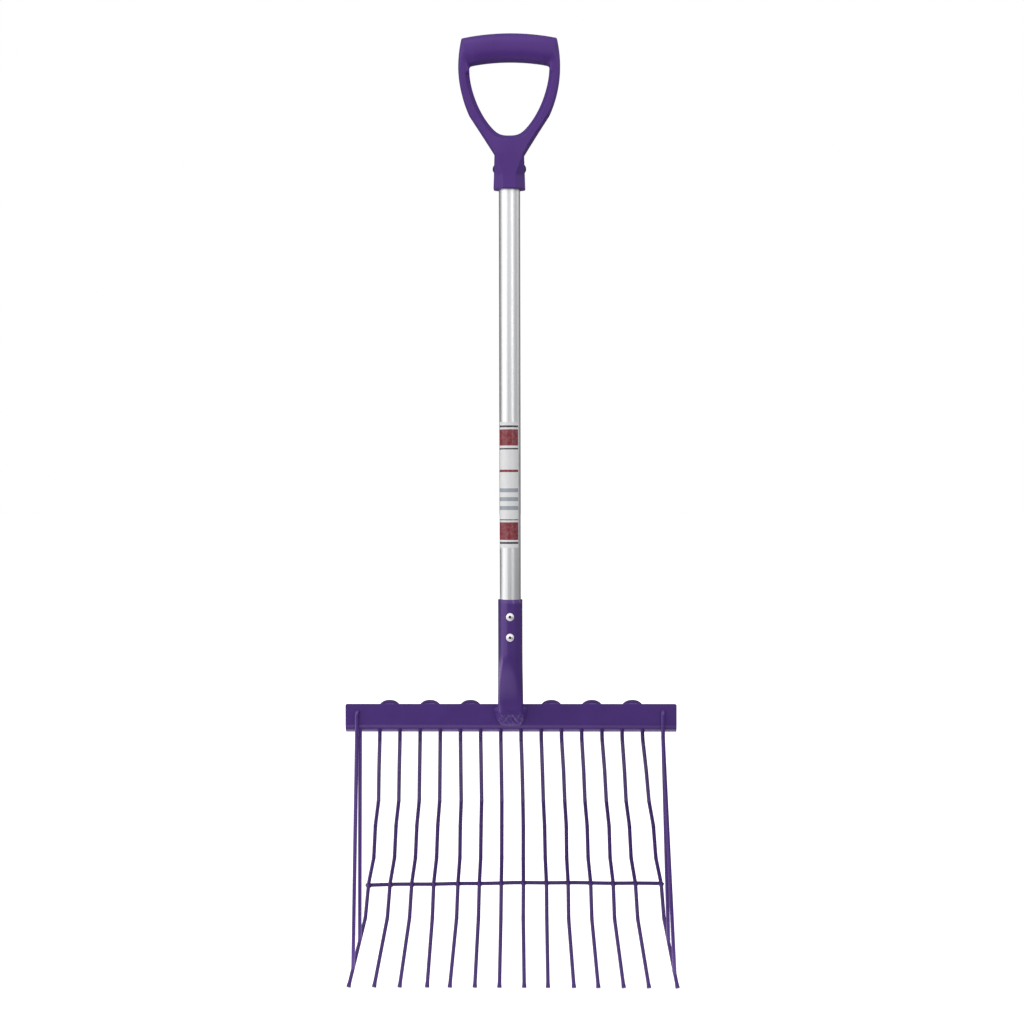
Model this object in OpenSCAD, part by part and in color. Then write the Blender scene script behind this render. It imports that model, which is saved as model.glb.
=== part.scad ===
// Basket manure fork: D grip, tube shaft and a welded wire head.
// The fork stands on its tine tips, hollow side towards -Y, shaft along +Z.

/* [Shaft] */
// Outside diameter of the shaft tube
shaft_d = 28; // [24:0.5:32]
// Wall of the shaft tube
shaft_wall = 1.5; // [1:0.1:2.5]
// Bare length of shaft between the head socket and the grip
shaft_exposed = 538; // [250:1:1200]
// Radial clearance of the shaft in both sockets
shaft_clear = 0.1; // [0.05:0.05:0.3]

/* [Shaft label] */
// Height of the label
label_h = 165; // [60:1:200]
// Angle of shaft that the label covers
label_angle = 120; // [40:5:170]
// Turn of the label's middle away from the front
label_turn = -10; // [-60:1:60]
// Thickness of the label film
label_t = 0.2; // [0.1:0.05:0.5]
// Thickness of the glue under the label
label_glue = 0.05; // [0.05:0.01:0.1]
// Bare shaft between the head socket and the label
label_lift = 68; // [10:1:80]

/* [Grip] */
// Height of the grip from the foot of its socket to its top
grip_h = 205; // [195:1:220]
// Greatest width across the arms
grip_w = 133; // [120:1:150]
// Radius of the outer edge of the arms
grip_side_r = 155; // [145:1:175]
// Radius of the arched top edge
grip_top_r = 313; // [250:1:400]
// Height of the hand bar
grip_bar_h = 37.5; // [30:0.5:42]
// Depth of the hand bar, front to back
grip_bar_depth = 31; // [28:0.5:40]
// Rounding of the hand bar's edges
grip_bar_round = 13; // [6:0.5:14]
// Greatest width of the hand opening
grip_opening_w = 105; // [90:1:115]
// Radius of the sides of the hand opening
grip_opening_r = 105; // [95:1:120]
// Radius of the round foot of the hand opening
grip_opening_foot_r = 35.6; // [25:0.1:42]
// Height of the lowest point of the hand opening
grip_opening_z = 71.5; // [68:0.5:90]
// Drop of the widest point of the opening below that of the arms
grip_opening_drop = 8.5; // [4:0.5:10]
// Depth of the arms, front to back
grip_arm_depth = 23; // [20:0.5:28]
// Size across the flats at the foot of the octagonal socket
grip_foot_af = 41.6; // [38:0.1:48]
// Size across the flats at the neck of the socket
grip_neck_af = 38.6; // [36:0.1:46]
// Height of the neck above the foot
grip_neck_z = 46.5; // [44:0.5:60]
// Length of shaft inside the grip
grip_insert = 46; // [38:0.5:55]
// Height of the two side rivets above the foot
grip_rivet_z = 27.5; // [20:0.5:34]

/* [Head socket] */
// Wall of the socket tube
socket_wall = 2; // [1.2:0.1:3]
// Length of the round part
socket_round = 71.5; // [64:0.5:120]
// Length of the part that runs from round to flat
socket_taper = 70; // [30:1:80]
// Length of the flat part
socket_flat = 8; // [5:1:50]
// Width of the flat part
socket_flat_w = 33.4; // [30:0.1:40]
// Thickness of the flat part
socket_flat_t = 18; // [12:0.5:26]
// Squareness of the flat part, from 1 for an oval down to 0.3 for a sharp box
socket_flat_power = 0.5; // [0.3:0.05:1]
// How far the socket laps over the front of the crossbar
socket_lap = 10; // [6:0.5:16]
// Length of shaft inside the socket
socket_insert = 66; // [58:0.5:110]
// Distance of the upper rivet below the mouth of the socket
socket_rivet_drop = 22.5; // [12:0.5:30]
// Distance between the two socket rivets
socket_rivet_pitch = 27; // [16:0.5:30]
// Width of the weld beside the socket end
socket_weld_side = 5.6; // [3:0.1:7]
// Height of the weld below the socket end
socket_weld_foot = 19; // [10:0.5:19]

/* [Blind rivets] */
// Diameter of the rivet heads
rivet_head_d = 10.5; // [9:0.1:12]
// Height of the rivet heads
rivet_head_h = 2.2; // [1.5:0.1:3]
// Diameter of the rivet shanks
rivet_shank_d = 4.8; // [4:0.1:5.6]
// Diameter of the mandrel left inside each rivet
rivet_mandrel_d = 2.8; // [2:0.1:3.2]
// Length of the bulge behind the sheets
rivet_bulge_len = 5; // [3:0.5:6]
// Extra diameter of the bulge
rivet_bulge = 2; // [1:0.1:2.5]
// Diametral clearance of each shank in its hole
rivet_clear = 0.2; // [0.1:0.05:0.4]
// Diametral clearance of each mandrel in its rivet
rivet_bore_clear = 0.1; // [0.05:0.05:0.2]

/* [Crossbar] */
// Height of the front flange
crossbar_h = 38; // [30:0.5:50]
// Depth of the bottom flange, front to back
crossbar_flange = 24; // [16:0.5:40]
// Thickness of the plate
crossbar_t = 2; // [1.5:0.1:3]
// Outside radius of the bend
crossbar_bend_r = 12; // [5:0.5:14]
// Distance from the last hole to each end
crossbar_end = 18.4; // [10:0.5:40]
// Radius of the two upper corners
crossbar_corner_r = 2.5; // [1:0.5:6]

/* [Tines] */
// Diameter of all the wire in the head
wire_d = 4.5; // [4:0.1:5.5]
// Spacing of the tines at the crossbar
tine_pitch = 26.8; // [24:0.1:32]
// Drop of each straight run below the crossbar, top to tip
tine_drop = [6, 50, 45, 36, 45, 35, 46, 86]; // [5:1:120]
// Backward slope of each run in degrees
tine_slope = [0, 40, 35, 23, 8, -2, -13, -25]; // [-40:1:45]
// Spacing gained by the end of each run
tine_fan = [0, 0.9, 1.5, 2.4, 2.8, 3.8, 4.2, 6.7]; // [0:0.1:10]
// Extra spread of the outermost tines at their tips
tine_flare = 4; // [0:0.5:8]
// Centreline radius of the bends in a tine
tine_bend_r = 22; // [12:1:30]
// Rise of each hairpin loop above the crossbar
loop_rise = 4.8; // [3:0.1:8]
// Diameter of the swollen tine tips
tip_d = 5.8; // [5:0.1:7]
// Length of the swollen tine tips
tip_len = 9; // [5:0.5:15]
// Run at whose lower end the cross wire lies
cross_wire_run = 5; // [4:1:6]
// How far the cross wire passes the outer tines
cross_wire_over = 3.2; // [2.5:0.1:8]

/* [Side guards] */
// Distance of each guard hook below the top of the crossbar
guard_hook_drop = 10; // [8:0.5:14]
// Sideways offset between the two legs of a guard
guard_skew = 3.2; // [0:0.1:5]
// Height of the lower end of the outer legs
guard_outer_z = 26; // [18:1:45]
// Height of the lower end of the inner legs
guard_inner_z = 60; // [48:1:75]

/* [Fits] */
// Gap between wires and the plate or wire that they are welded to
weld_gap = 0.1; // [0.05:0.05:0.3]
// Clearance all round the wires in the crossbar holes
hole_clear = 0.5; // [0.3:0.1:0.8]
// Radius of the small weld spots
weld_spot_r = 3.4; // [3:0.1:4]
// How far a weld bead stands out beside its wire
weld_bead_over = 1; // [0.6:0.1:1.5]
// Length of the weld beads along a wire
weld_bead_len = 12; // [6:1:16]

/* [Hidden] */
$fn = 48;

purple_coat = [0.29, 0.19, 0.45];
purple_plastic = [0.31, 0.23, 0.47];
satin_aluminium = [0.82, 0.82, 0.84];
rivet_silver = [0.75, 0.75, 0.77];
label_white = [0.93, 0.93, 0.94];
eps = 0.01;
tine_pairs = 7;
wire_sides = 10;
wire_bend_step = 12;
wire_turn_step = 15;
socket_sides = 48;
socket_steps = 6;
socket_seam = 0.05;
weld_facets = 24;
mostly_x = 0.9;

// Running totals of a list, one value per entry
function running(list) = [for (k = [0:len(list) - 1]) sum_to(list, k)];
function sum_to(list, k) = k < 0 ? 0 : list[k] + sum_to(list, k - 1);
function unit(v) = v / norm(v);

// Sizes that follow from the fits
wire_r = wire_d / 2;
shaft_r = shaft_d / 2;
shaft_bore_r = shaft_r + shaft_clear;
socket_r = shaft_bore_r + socket_wall;
rivet_hole_d = rivet_shank_d + rivet_clear;
wire_hole_d = wire_d + 2 * hole_clear;

// Depths: the shaft axis is depth 0, the crossbar's front face touches the back of the socket
face_y = socket_r;
leg_y = face_y + crossbar_t + weld_gap + wire_r;
guard_front_y = face_y - weld_gap - wire_r;

// Tine stations, measured down and back from the foot of the crossbar
tine_count = 2 * tine_pairs;
tine_fall = running(tine_drop);
tine_back = running([for (k = [0:len(tine_drop) - 1]) tine_drop[k] * tan(tine_slope[k])]);
last_run = len(tine_drop) - 1;
tine_total = tine_fall[last_run];
outer_share = (tine_count - 1) / 2;
// Sideways place of a tine at the end of a run
function tine_top_x(k) = (k - outer_share) * tine_pitch;
function is_outer(k) = k == 0 || k == tine_count - 1;
function flare_at(n) = tine_flare * pow(tine_fall[n] / tine_total, 2);
function tine_x(k, n) = tine_top_x(k) + (k - outer_share) * tine_fan[n]
    + (is_outer(k) ? sign(k - outer_share) * flare_at(n) : 0);
tip_step = [
    tine_x(tine_count - 1, last_run) - tine_x(tine_count - 1, last_run - 1),
    tine_back[last_run] - tine_back[last_run - 1],
    -tine_drop[last_run]
];
tip_tilt = acos(-unit(tip_step)[2]);
tip_lift = tip_d / 2 * sin(tip_tilt);

// Heights above the surface that the tips stand on
bar_z = tip_lift + tine_total;
bar_top_z = bar_z + crossbar_h;
loop_z = bar_top_z + loop_rise - wire_r - tine_pitch / 2;
socket_end_z = bar_top_z - socket_lap;
socket_mouth_z = socket_end_z + socket_flat + socket_taper + socket_round;
grip_z = socket_mouth_z + shaft_exposed;
upper_rivet_z = socket_mouth_z - socket_rivet_drop;
lower_rivet_z = upper_rivet_z - socket_rivet_pitch;
cross_wire_z = bar_z - tine_fall[cross_wire_run];
cross_wire_y = leg_y + tine_back[cross_wire_run] + wire_d + weld_gap;
crossbar_w = (tine_count + 1) * tine_pitch + 2 * crossbar_end;
guard_x = (tine_count + 1) / 2 * tine_pitch;

// The origin is the middle of the footprint, front to back
front_y = -grip_foot_af / 2;
back_y = max(cross_wire_y, leg_y + max(tine_back)) + wire_r;
middle_y = (front_y + back_y) / 2;

// Rigid placing of the Z direction v at the point p
function side_of(v) = unit(cross(abs(v[0]) < mostly_x ? [1, 0, 0] : [0, 0, 1], v));
function placing_along(v, p) = let (x = side_of(v), y = cross(v, x)) [
    [x[0], y[0], v[0], p[0]],
    [x[1], y[1], v[1], p[1]],
    [x[2], y[2], v[2], p[2]],
    [0, 0, 0, 1]
];

module straight_wire(a, b) {
    multmatrix(placing_along(unit(b - a), a))
        cylinder(d = wire_d, h = norm(b - a));
}

// A wire path is a list of stations, each a point, a direction and a radius
function bend_angle(u, v) = acos(min(1, u * v));
function bend_reach(u, v, r) = r * tan(bend_angle(u, v) / 2);
function bend_path(corner, u, v, r) = let (
    angle = bend_angle(u, v),
    inward = unit(v - u * (u * v)),
    centre = corner - u * bend_reach(u, v, r) + inward * r,
    steps = ceil(angle / wire_bend_step)
) [
    for (k = [0:steps])
        let (turned = angle * k / steps)
            [centre + r * (u * sin(turned) - inward * cos(turned)),
                u * cos(turned) + inward * sin(turned), wire_r]
];
// Straight runs through the points, with a round bend at every inner point
function bent_path(points, r) = let (
    last = len(points) - 1,
    way = [for (k = [0:last - 1]) unit(points[k + 1] - points[k])]
) concat(
    [[points[0], way[0], wire_r]],
    [for (k = [1:last - 1]) each bend_path(points[k], way[k - 1], way[k], r)],
    [[points[last], way[last - 1], wire_r]]
);
// Half turn that leaves a upwards and comes down at b, without its two ends
function half_turn_path(a, b) = let (
    across = unit(b - a),
    r = norm(b - a) / 2,
    steps = ceil(180 / wire_turn_step)
) [
    for (k = [1:steps - 1])
        let (turned = 180 * k / steps)
            [(a + b) / 2 + r * ([0, 0, sin(turned)] - across * cos(turned)),
                [0, 0, cos(turned)] + across * sin(turned), wire_r]
];
function backwards(path) = [
    for (k = [len(path) - 1:-1:0])
        [path[k][0], -path[k][1], path[k][2]]
];

// One closed tube along a path, each ring with the area of the round wire
module wire_tube(path, upright) {
    n = wire_sides;
    last = len(path) - 1;
    swell = sqrt(2 * PI / (n * sin(360 / n)));
    points = [
        for (station = path)
            let (
                out = unit(upright - station[1] * (upright * station[1])),
                side = cross(station[1], out)
            )
                for (k = [0:n - 1])
                    station[0] + station[2] * swell * (out * cos(360 * k / n) + side * sin(360 * k / n))
    ];
    sides = [
        for (ring = [0:last - 1])
            for (k = [0:n - 1])
                let (a = ring * n + k, b = ring * n + (k + 1) % n)
                    each [[a, a + n, b], [b, a + n, b + n]]
    ];
    caps = [for (k = [1:n - 2]) each [[0, k, k + 1], [last * n, last * n + k + 1, last * n + k]]];
    polyhedron(points = points, faces = concat(sides, caps));
}

// Outline in X and Z carried through the depth
module through_depth(depth) {
    rotate([90, 0, 0])
        linear_extrude(height = depth, center = true)
            children();
}

// Outline in Y and Z carried along X
module along_x(length) {
    rotate([90, 0, 90])
        linear_extrude(height = length, center = true)
            children();
}

// Everything is placed from the shaft axis to the middle of the footprint
module standing(colour) {
    color(colour)
        translate([0, -middle_y, 0])
            children();
}

// Grip

grip_top_z = grip_h - grip_top_r;
// The round foot of the opening touches both of its sides
grip_off = grip_opening_r - grip_opening_w / 2;
grip_between = grip_opening_r - grip_opening_foot_r;
grip_foot_z = grip_opening_z + grip_opening_foot_r;
grip_foot_rise = sqrt(grip_between * grip_between - grip_off * grip_off);
grip_opening_side_z = grip_foot_z + grip_foot_rise;
grip_touch_z = grip_opening_side_z - grip_foot_rise * grip_opening_r / grip_between;
grip_side_z = grip_opening_side_z + grip_opening_drop;

module grip_outer_outline() {
    translate([-grip_neck_af / 2, grip_neck_z - eps])
        square([grip_neck_af, grip_opening_z - grip_neck_z]);
    intersection() {
        shared_by_two_discs(grip_w / 2 - grip_side_r, grip_side_z, grip_side_r);
        translate([0, grip_top_z])
            circle(r = grip_top_r);
        translate([-grip_w, grip_neck_z - eps])
            square([2 * grip_w, grip_h]);
    }
}

// Space shared by two equal discs set off to the left and right
module shared_by_two_discs(off, z, r) {
    intersection() {
        translate([off, z])
            circle(r = r);
        translate([-off, z])
            circle(r = r);
    }
}

module grip_opening_outline() {
    intersection() {
        shared_by_two_discs(-grip_off, grip_opening_side_z, grip_opening_r);
        translate([0, grip_top_z])
            circle(r = grip_top_r - grip_bar_h);
        translate([-grip_w, grip_touch_z])
            square([2 * grip_w, grip_h]);
    }
    translate([0, grip_foot_z])
        circle(r = grip_opening_foot_r);
}

// Front to back shape of the arms, which thicken towards the neck
module grip_side_outline() {
    shoulder_z = (grip_neck_z + grip_opening_z) / 2 + grip_opening_z / 2;
    polygon([
        [-grip_neck_af / 2, grip_neck_z - eps], [grip_neck_af / 2, grip_neck_z - eps],
        [grip_arm_depth / 2, shoulder_z], [grip_arm_depth / 2, grip_h],
        [-grip_arm_depth / 2, grip_h], [-grip_arm_depth / 2, shoulder_z]
    ]);
}

module grip_bar_section() {
    core_h = grip_bar_h - 2 * grip_bar_round;
    core_depth = grip_bar_depth - 2 * grip_bar_round;
    square([grip_bar_h, core_depth], center = true);
    square([core_h, grip_bar_depth], center = true);
    for (x = [-core_h / 2, core_h / 2])
        for (y = [-core_depth / 2, core_depth / 2])
            translate([x, y])
                circle(r = grip_bar_round);
}

module grip_bar() {
    sweep = 2 * asin(grip_w / grip_top_r);
    intersection() {
        translate([0, 0, grip_top_z])
            rotate([90, -90, 0])
                rotate([0, 0, -sweep / 2])
                    rotate_extrude(angle = sweep)
                        translate([grip_top_r - grip_bar_h / 2, 0])
                            grip_bar_section();
        through_depth(2 * grip_bar_depth)
            grip_outer_outline();
    }
}

module grip_socket() {
    corner = 1 / cos(180 / 8);
    rotate(180 / 8)
        cylinder(d1 = grip_foot_af * corner, d2 = grip_neck_af * corner, h = grip_neck_z, $fn = 8);
}

module grip() {
    standing(purple_plastic)
        translate([0, 0, grip_z])
            difference() {
                union() {
                    intersection() {
                        through_depth(2 * grip_foot_af)
                            difference() {
                                grip_outer_outline();
                                grip_opening_outline();
                            }
                        along_x(2 * grip_w)
                            grip_side_outline();
                    }
                    grip_bar();
                    grip_socket();
                }
                translate([0, 0, -eps])
                    cylinder(r = shaft_bore_r, h = grip_insert + eps);
                grip_rivet_holes();
            }
}

// Blind rivets: the axis points out of the head, which sits on height 0

rivet_bulge_d = rivet_shank_d + rivet_bulge;
rivet_bore_d = rivet_mandrel_d + rivet_bore_clear;
// Depth of a round surface below its crown, at the given distance to the side
function sagitta(r, half) = r - sqrt(r * r - half * half);

// Dome on a short skirt, which is cut to the round socket where there is one
module rivet_head(skirt) {
    dome_r = (rivet_head_d * rivet_head_d / 4 + rivet_head_h * rivet_head_h) / (2 * rivet_head_h);
    rotate_extrude() {
        intersection() {
            translate([0, rivet_head_h - dome_r])
                circle(r = dome_r);
            square([rivet_head_d / 2, rivet_head_h]);
        }
        if (skirt > 0)
            translate([0, -skirt])
                square([rivet_head_d / 2, skirt + eps]);
    }
}

module rivet_shank(stack) {
    depth = stack + rivet_bulge_len;
    translate([0, 0, -depth])
        cylinder(d = rivet_shank_d, h = depth + rivet_head_h / 4);
    translate([0, 0, -depth])
        cylinder(d = rivet_bulge_d, h = rivet_bulge_len);
}

module rivet_bore(stack) {
    depth = stack + rivet_bulge_len;
    translate([0, 0, -depth - eps])
        cylinder(d = rivet_bore_d, h = depth + rivet_head_h + 2 * eps);
}

module rivet_mandrel(stack) {
    ball_d = rivet_shank_d;
    rest = rivet_head_h / 3;
    depth = stack + rivet_bulge_len;
    translate([0, 0, -depth - ball_d / 4])
        cylinder(d = rivet_mandrel_d, h = depth + ball_d / 4 + rest);
    translate([0, 0, -depth - ball_d / 2])
        cylinder(d1 = rivet_mandrel_d, d2 = ball_d, h = ball_d / 2);
}

grip_rivet_face = grip_foot_af / 2
    - (grip_foot_af - grip_neck_af) / 2 * grip_rivet_z / grip_neck_z;
grip_rivet_lean = atan((grip_foot_af - grip_neck_af) / 2 / grip_neck_z);
// Both stacks reach to where the bulge meets the round inside of the shaft
shaft_inner_r = shaft_r - shaft_wall;
bulge_seat_r = shaft_inner_r - sagitta(shaft_inner_r, rivet_bulge_d / 2) - rivet_clear;
grip_rivet_stack = grip_rivet_face - bulge_seat_r;
socket_rivet_stack = socket_r - bulge_seat_r;

// Frame of a grip rivet, square to the leaning side of the socket
module at_grip_rivet(side) {
    translate([side * grip_rivet_face, 0, grip_rivet_z])
        rotate([0, side * (90 - grip_rivet_lean), 0])
            children();
}

module grip_rivet_holes() {
    for (side = [-1, 1])
        at_grip_rivet(side)
            translate([0, 0, -shaft_d / 2])
                cylinder(d = rivet_hole_d, h = shaft_d);
}

module grip_rivet(side) {
    standing(rivet_silver)
        translate([0, 0, grip_z])
            at_grip_rivet(side)
                difference() {
                    union() {
                        rivet_head(0);
                        rivet_shank(grip_rivet_stack);
                    }
                    rivet_bore(grip_rivet_stack);
                }
}

module left_grip_rivet() {
    grip_rivet(-1);
}

module right_grip_rivet() {
    grip_rivet(1);
}

module grip_rivet_mandrels() {
    standing(rivet_silver)
        translate([0, 0, grip_z])
            for (side = [-1, 1])
                at_grip_rivet(side)
                    rivet_mandrel(grip_rivet_stack);
}

module at_socket_rivet(z) {
    translate([0, -socket_r, z])
        rotate([90, 0, 0])
            children();
}

module socket_rivet(z) {
    standing(rivet_silver)
        difference() {
            union() {
                difference() {
                    at_socket_rivet(z)
                        rivet_head(sagitta(socket_r, rivet_head_d / 2) + rivet_clear);
                    translate([0, 0, z])
                        cylinder(r = socket_r, h = 2 * rivet_head_d, center = true);
                }
                at_socket_rivet(z)
                    rivet_shank(socket_rivet_stack);
            }
            at_socket_rivet(z)
                rivet_bore(socket_rivet_stack);
        }
}

module upper_socket_rivet() {
    socket_rivet(upper_rivet_z);
}

module lower_socket_rivet() {
    socket_rivet(lower_rivet_z);
}

module socket_rivet_mandrels() {
    standing(rivet_silver)
        for (z = [upper_rivet_z, lower_rivet_z])
            at_socket_rivet(z)
                rivet_mandrel(socket_rivet_stack);
}

// Shaft and label

shaft_foot_z = socket_mouth_z - socket_insert;
shaft_len = socket_insert + shaft_exposed + grip_insert;

module shaft() {
    standing(satin_aluminium)
        difference() {
            translate([0, 0, shaft_foot_z])
                cylinder(r = shaft_r, h = shaft_len);
            translate([0, 0, shaft_foot_z - eps])
                cylinder(r = shaft_inner_r, h = shaft_len + 2 * eps);
            for (z = [upper_rivet_z, lower_rivet_z])
                translate([0, 0, z])
                    rotate([90, 0, 0])
                        cylinder(d = rivet_hole_d, h = shaft_d);
            translate([0, 0, grip_z])
                grip_rivet_holes();
        }
}

module shaft_label() {
    standing(label_white)
        translate([0, 0, socket_mouth_z + label_lift])
            rotate(-90 + label_turn - label_angle / 2)
                rotate_extrude(angle = label_angle)
                    translate([shaft_r + label_glue, 0])
                        square([label_t, label_h]);
}

// Head socket and its weld

// Section of the pressed tube: a circle at share 0, a rounded box at share 1, its back kept in line.
// Each point is the same power of the cosine and the sine of its angle.
function signed_power(v, p) = sign(v) * pow(abs(v), p);
function blend(a, b, share) = a + (b - a) * share;
function socket_section(share, inset) = let (
    half_w = blend(socket_r, socket_flat_w / 2, share) - inset,
    half_t = blend(socket_r, socket_flat_t / 2, share) - inset,
    middle = socket_r - blend(socket_r, socket_flat_t / 2, share),
    power = blend(1, socket_flat_power, share)
) [
    for (k = [0:socket_sides - 1])
        let (a = 360 * k / socket_sides)
            [half_w * signed_power(cos(a), power), middle + half_t * signed_power(sin(a), power)]
];
function smooth_share(t) = t * t * (3 - 2 * t);
// Rings from inside the round tube's wall down to the flat end, each a height and a share
socket_rings = concat(
    [[socket_end_z + socket_flat + socket_taper + socket_wall, 0]],
    [
        for (k = [0:socket_steps])
            let (share = k / socket_steps)
                [socket_end_z + socket_flat + socket_taper * (1 - share), smooth_share(share)]
    ],
    [[socket_end_z, 1]]
);
function socket_wall_points(inset) = [
    for (ring = socket_rings)
        for (p = socket_section(ring[1], inset))
            [p[0], p[1], ring[0]]
];

// Pressed part of the socket: an outer and an inner wall joined by two flat rims
module socket_pressed_end() {
    n = socket_sides;
    last = len(socket_rings) - 1;
    inner = n * (last + 1);
    outer_wall = [
        for (ring = [0:last - 1])
            for (k = [0:n - 1])
                let (a = ring * n + k, b = ring * n + (k + 1) % n)
                    each [[a, b, a + n], [b, b + n, a + n]]
    ];
    inner_wall = [for (f = outer_wall) [f[0] + inner, f[2] + inner, f[1] + inner]];
    rims = [
        for (k = [0:n - 1])
            let (j = (k + 1) % n, foot = last * n)
                each [
                    [k, inner + k, j], [j, inner + k, inner + j],
                    [foot + k, foot + j, inner + foot + k], [foot + j, inner + foot + j, inner + foot + k]
                ]
    ];
    polyhedron(
        points = concat(socket_wall_points(socket_seam), socket_wall_points(socket_wall - socket_seam)),
        faces = concat(outer_wall, inner_wall, rims)
    );
}

module head_socket() {
    standing(purple_coat) {
        difference() {
            translate([0, 0, socket_mouth_z - socket_round])
                cylinder(r = socket_r, h = socket_round);
            translate([0, 0, socket_mouth_z - socket_round - eps])
                cylinder(r = shaft_bore_r, h = socket_round + 2 * eps);
            for (z = [upper_rivet_z, lower_rivet_z])
                translate([0, 0, z])
                    rotate([90, 0, 0])
                        cylinder(d = rivet_hole_d, h = 2 * socket_r);
        }
        socket_pressed_end();
    }
}

module socket_weld() {
    side_r = socket_weld_side;
    foot_x = socket_flat_w / 2 - side_r;
    lip = socket_wall / 2;
    standing(purple_coat)
        difference() {
            union() {
                for (side = [-1, 1])
                    translate([side * socket_flat_w / 2, face_y, socket_end_z - side_r])
                        cylinder(r = side_r, h = socket_lap + side_r / 2);
                hull() {
                    translate([0, 0, socket_end_z - weld_gap - lip])
                        linear_extrude(height = lip)
                            polygon(socket_section(1, lip));
                    for (side = [-1, 1])
                        translate([side * foot_x, face_y, socket_end_z - socket_weld_foot + side_r])
                            sphere(r = side_r, $fn = weld_facets);
                }
            }
            translate([-crossbar_w, face_y, 0])
                cube([2 * crossbar_w, crossbar_w, 2 * bar_top_z]);
            translate([0, 0, socket_end_z])
                linear_extrude(height = 2 * socket_lap)
                    polygon(socket_section(1, 0));
        }
}

// Crossbar

module crossbar_section() {
    inner_r = crossbar_bend_r - crossbar_t;
    translate([0, crossbar_bend_r])
        square([crossbar_t, crossbar_h - crossbar_bend_r]);
    translate([crossbar_bend_r, 0])
        square([crossbar_flange - crossbar_bend_r, crossbar_t]);
    intersection() {
        translate([crossbar_bend_r, crossbar_bend_r])
            difference() {
                circle(r = crossbar_bend_r);
                circle(r = inner_r);
            }
        square(crossbar_bend_r);
    }
}

module crossbar_front_outline() {
    half_w = crossbar_w / 2;
    translate([-half_w, 0])
        square([crossbar_w, crossbar_h - crossbar_corner_r]);
    translate([-half_w + crossbar_corner_r, 0])
        square([crossbar_w - 2 * crossbar_corner_r, crossbar_h]);
    for (side = [-1, 1])
        translate([side * (half_w - crossbar_corner_r), crossbar_h - crossbar_corner_r])
            circle(r = crossbar_corner_r);
}

guard_hole_d = wire_hole_d + guard_skew / 2;
guard_turn_r = norm([guard_skew, leg_y - guard_front_y]) / 2;
guard_turn_z = bar_top_z - guard_hook_drop - guard_turn_r;

module crossbar() {
    standing(purple_coat)
        difference() {
            intersection() {
                translate([0, face_y, bar_z])
                    along_x(crossbar_w)
                        crossbar_section();
                translate([0, face_y, bar_z])
                    through_depth(4 * crossbar_flange)
                        crossbar_front_outline();
            }
            for (k = [-1:tine_count])
                translate([tine_top_x(k), leg_y, bar_z - eps])
                    cylinder(d = wire_hole_d, h = crossbar_bend_r);
            for (side = [-1, 1])
                translate([side * (guard_x + guard_skew / 2), face_y, guard_turn_z + guard_turn_r])
                    rotate([90, 0, 0])
                        cylinder(d = guard_hole_d, h = 4 * crossbar_t, center = true);
        }
}

// Tines

// Corner points of a tine, from its hairpin loop to its tip
function tine_points(k) = concat(
    [[tine_top_x(k), leg_y, loop_z]],
    [for (n = [0:last_run]) [tine_x(k, n), leg_y + tine_back[n], bar_z - tine_fall[n]]]
);
// Point of a tine's last run at the given height
function tip_run_point(k, z) = let (
    points = tine_points(k),
    a = points[last_run],
    b = points[last_run + 1]
) a + (b - a) * (a[2] - z) / (a[2] - b[2]);

function tine_path(k) = let (
    points = tine_points(k),
    tip = points[last_run + 1],
    way = unit(tip - points[last_run]),
    swell = tip - way * tip_len,
    corners = [for (n = [0:last_run + 1]) n > last_run ? swell : points[n]]
) concat(bent_path(corners, tine_bend_r), [[tip, way, tip_d / 2]]);

module tine_pair(n) {
    left = tine_path(2 * n - 2);
    right = tine_path(2 * n - 1);
    standing(purple_coat)
        wire_tube(concat(backwards(left), half_turn_path(left[0][0], right[0][0]), right), [0, 1, 0]);
}

module tine_pair_1() {
    tine_pair(1);
}

module tine_pair_2() {
    tine_pair(2);
}

module tine_pair_3() {
    tine_pair(3);
}

module tine_pair_4() {
    tine_pair(4);
}

module tine_pair_5() {
    tine_pair(5);
}

module tine_pair_6() {
    tine_pair(6);
}

module tine_pair_7() {
    tine_pair(7);
}

// Beads beside the hairpin legs, on the back of the front flange
module tine_welds() {
    plate_y = face_y + crossbar_t;
    bead_r = wire_r + weld_bead_over;
    standing(purple_coat)
        for (k = [0:tine_count - 1])
            translate([tine_top_x(k), 0, loop_z - weld_bead_len])
                difference() {
                    translate([0, plate_y, 0])
                        cylinder(r = bead_r, h = weld_bead_len);
                    translate([-bead_r, plate_y - 2 * bead_r, -eps])
                        cube([2 * bead_r, 2 * bead_r, weld_bead_len + 2 * eps]);
                    translate([0, leg_y, -eps])
                        cylinder(r = wire_r, h = weld_bead_len + 2 * eps);
                }
}

// Cross wire

cross_wire_half = tine_x(tine_count - 1, cross_wire_run) + wire_r + cross_wire_over;

module cross_wire() {
    standing(purple_coat)
        straight_wire([-cross_wire_half, cross_wire_y, cross_wire_z],
            [cross_wire_half, cross_wire_y, cross_wire_z]);
}

module cross_wire_welds() {
    standing(purple_coat)
        for (k = [0:tine_count - 1]) {
            points = tine_points(k);
            here = points[cross_wire_run + 1];
            way = unit(points[cross_wire_run + 2] - points[cross_wire_run]);
            difference() {
                translate([here[0], cross_wire_y - wire_r - weld_gap / 2, cross_wire_z])
                    sphere(r = weld_spot_r);
                straight_wire(here - way * wire_d, here + way * wire_d);
                straight_wire([-cross_wire_half, cross_wire_y, cross_wire_z],
                    [cross_wire_half, cross_wire_y, cross_wire_z]);
            }
        }
}

// Side guards

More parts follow.
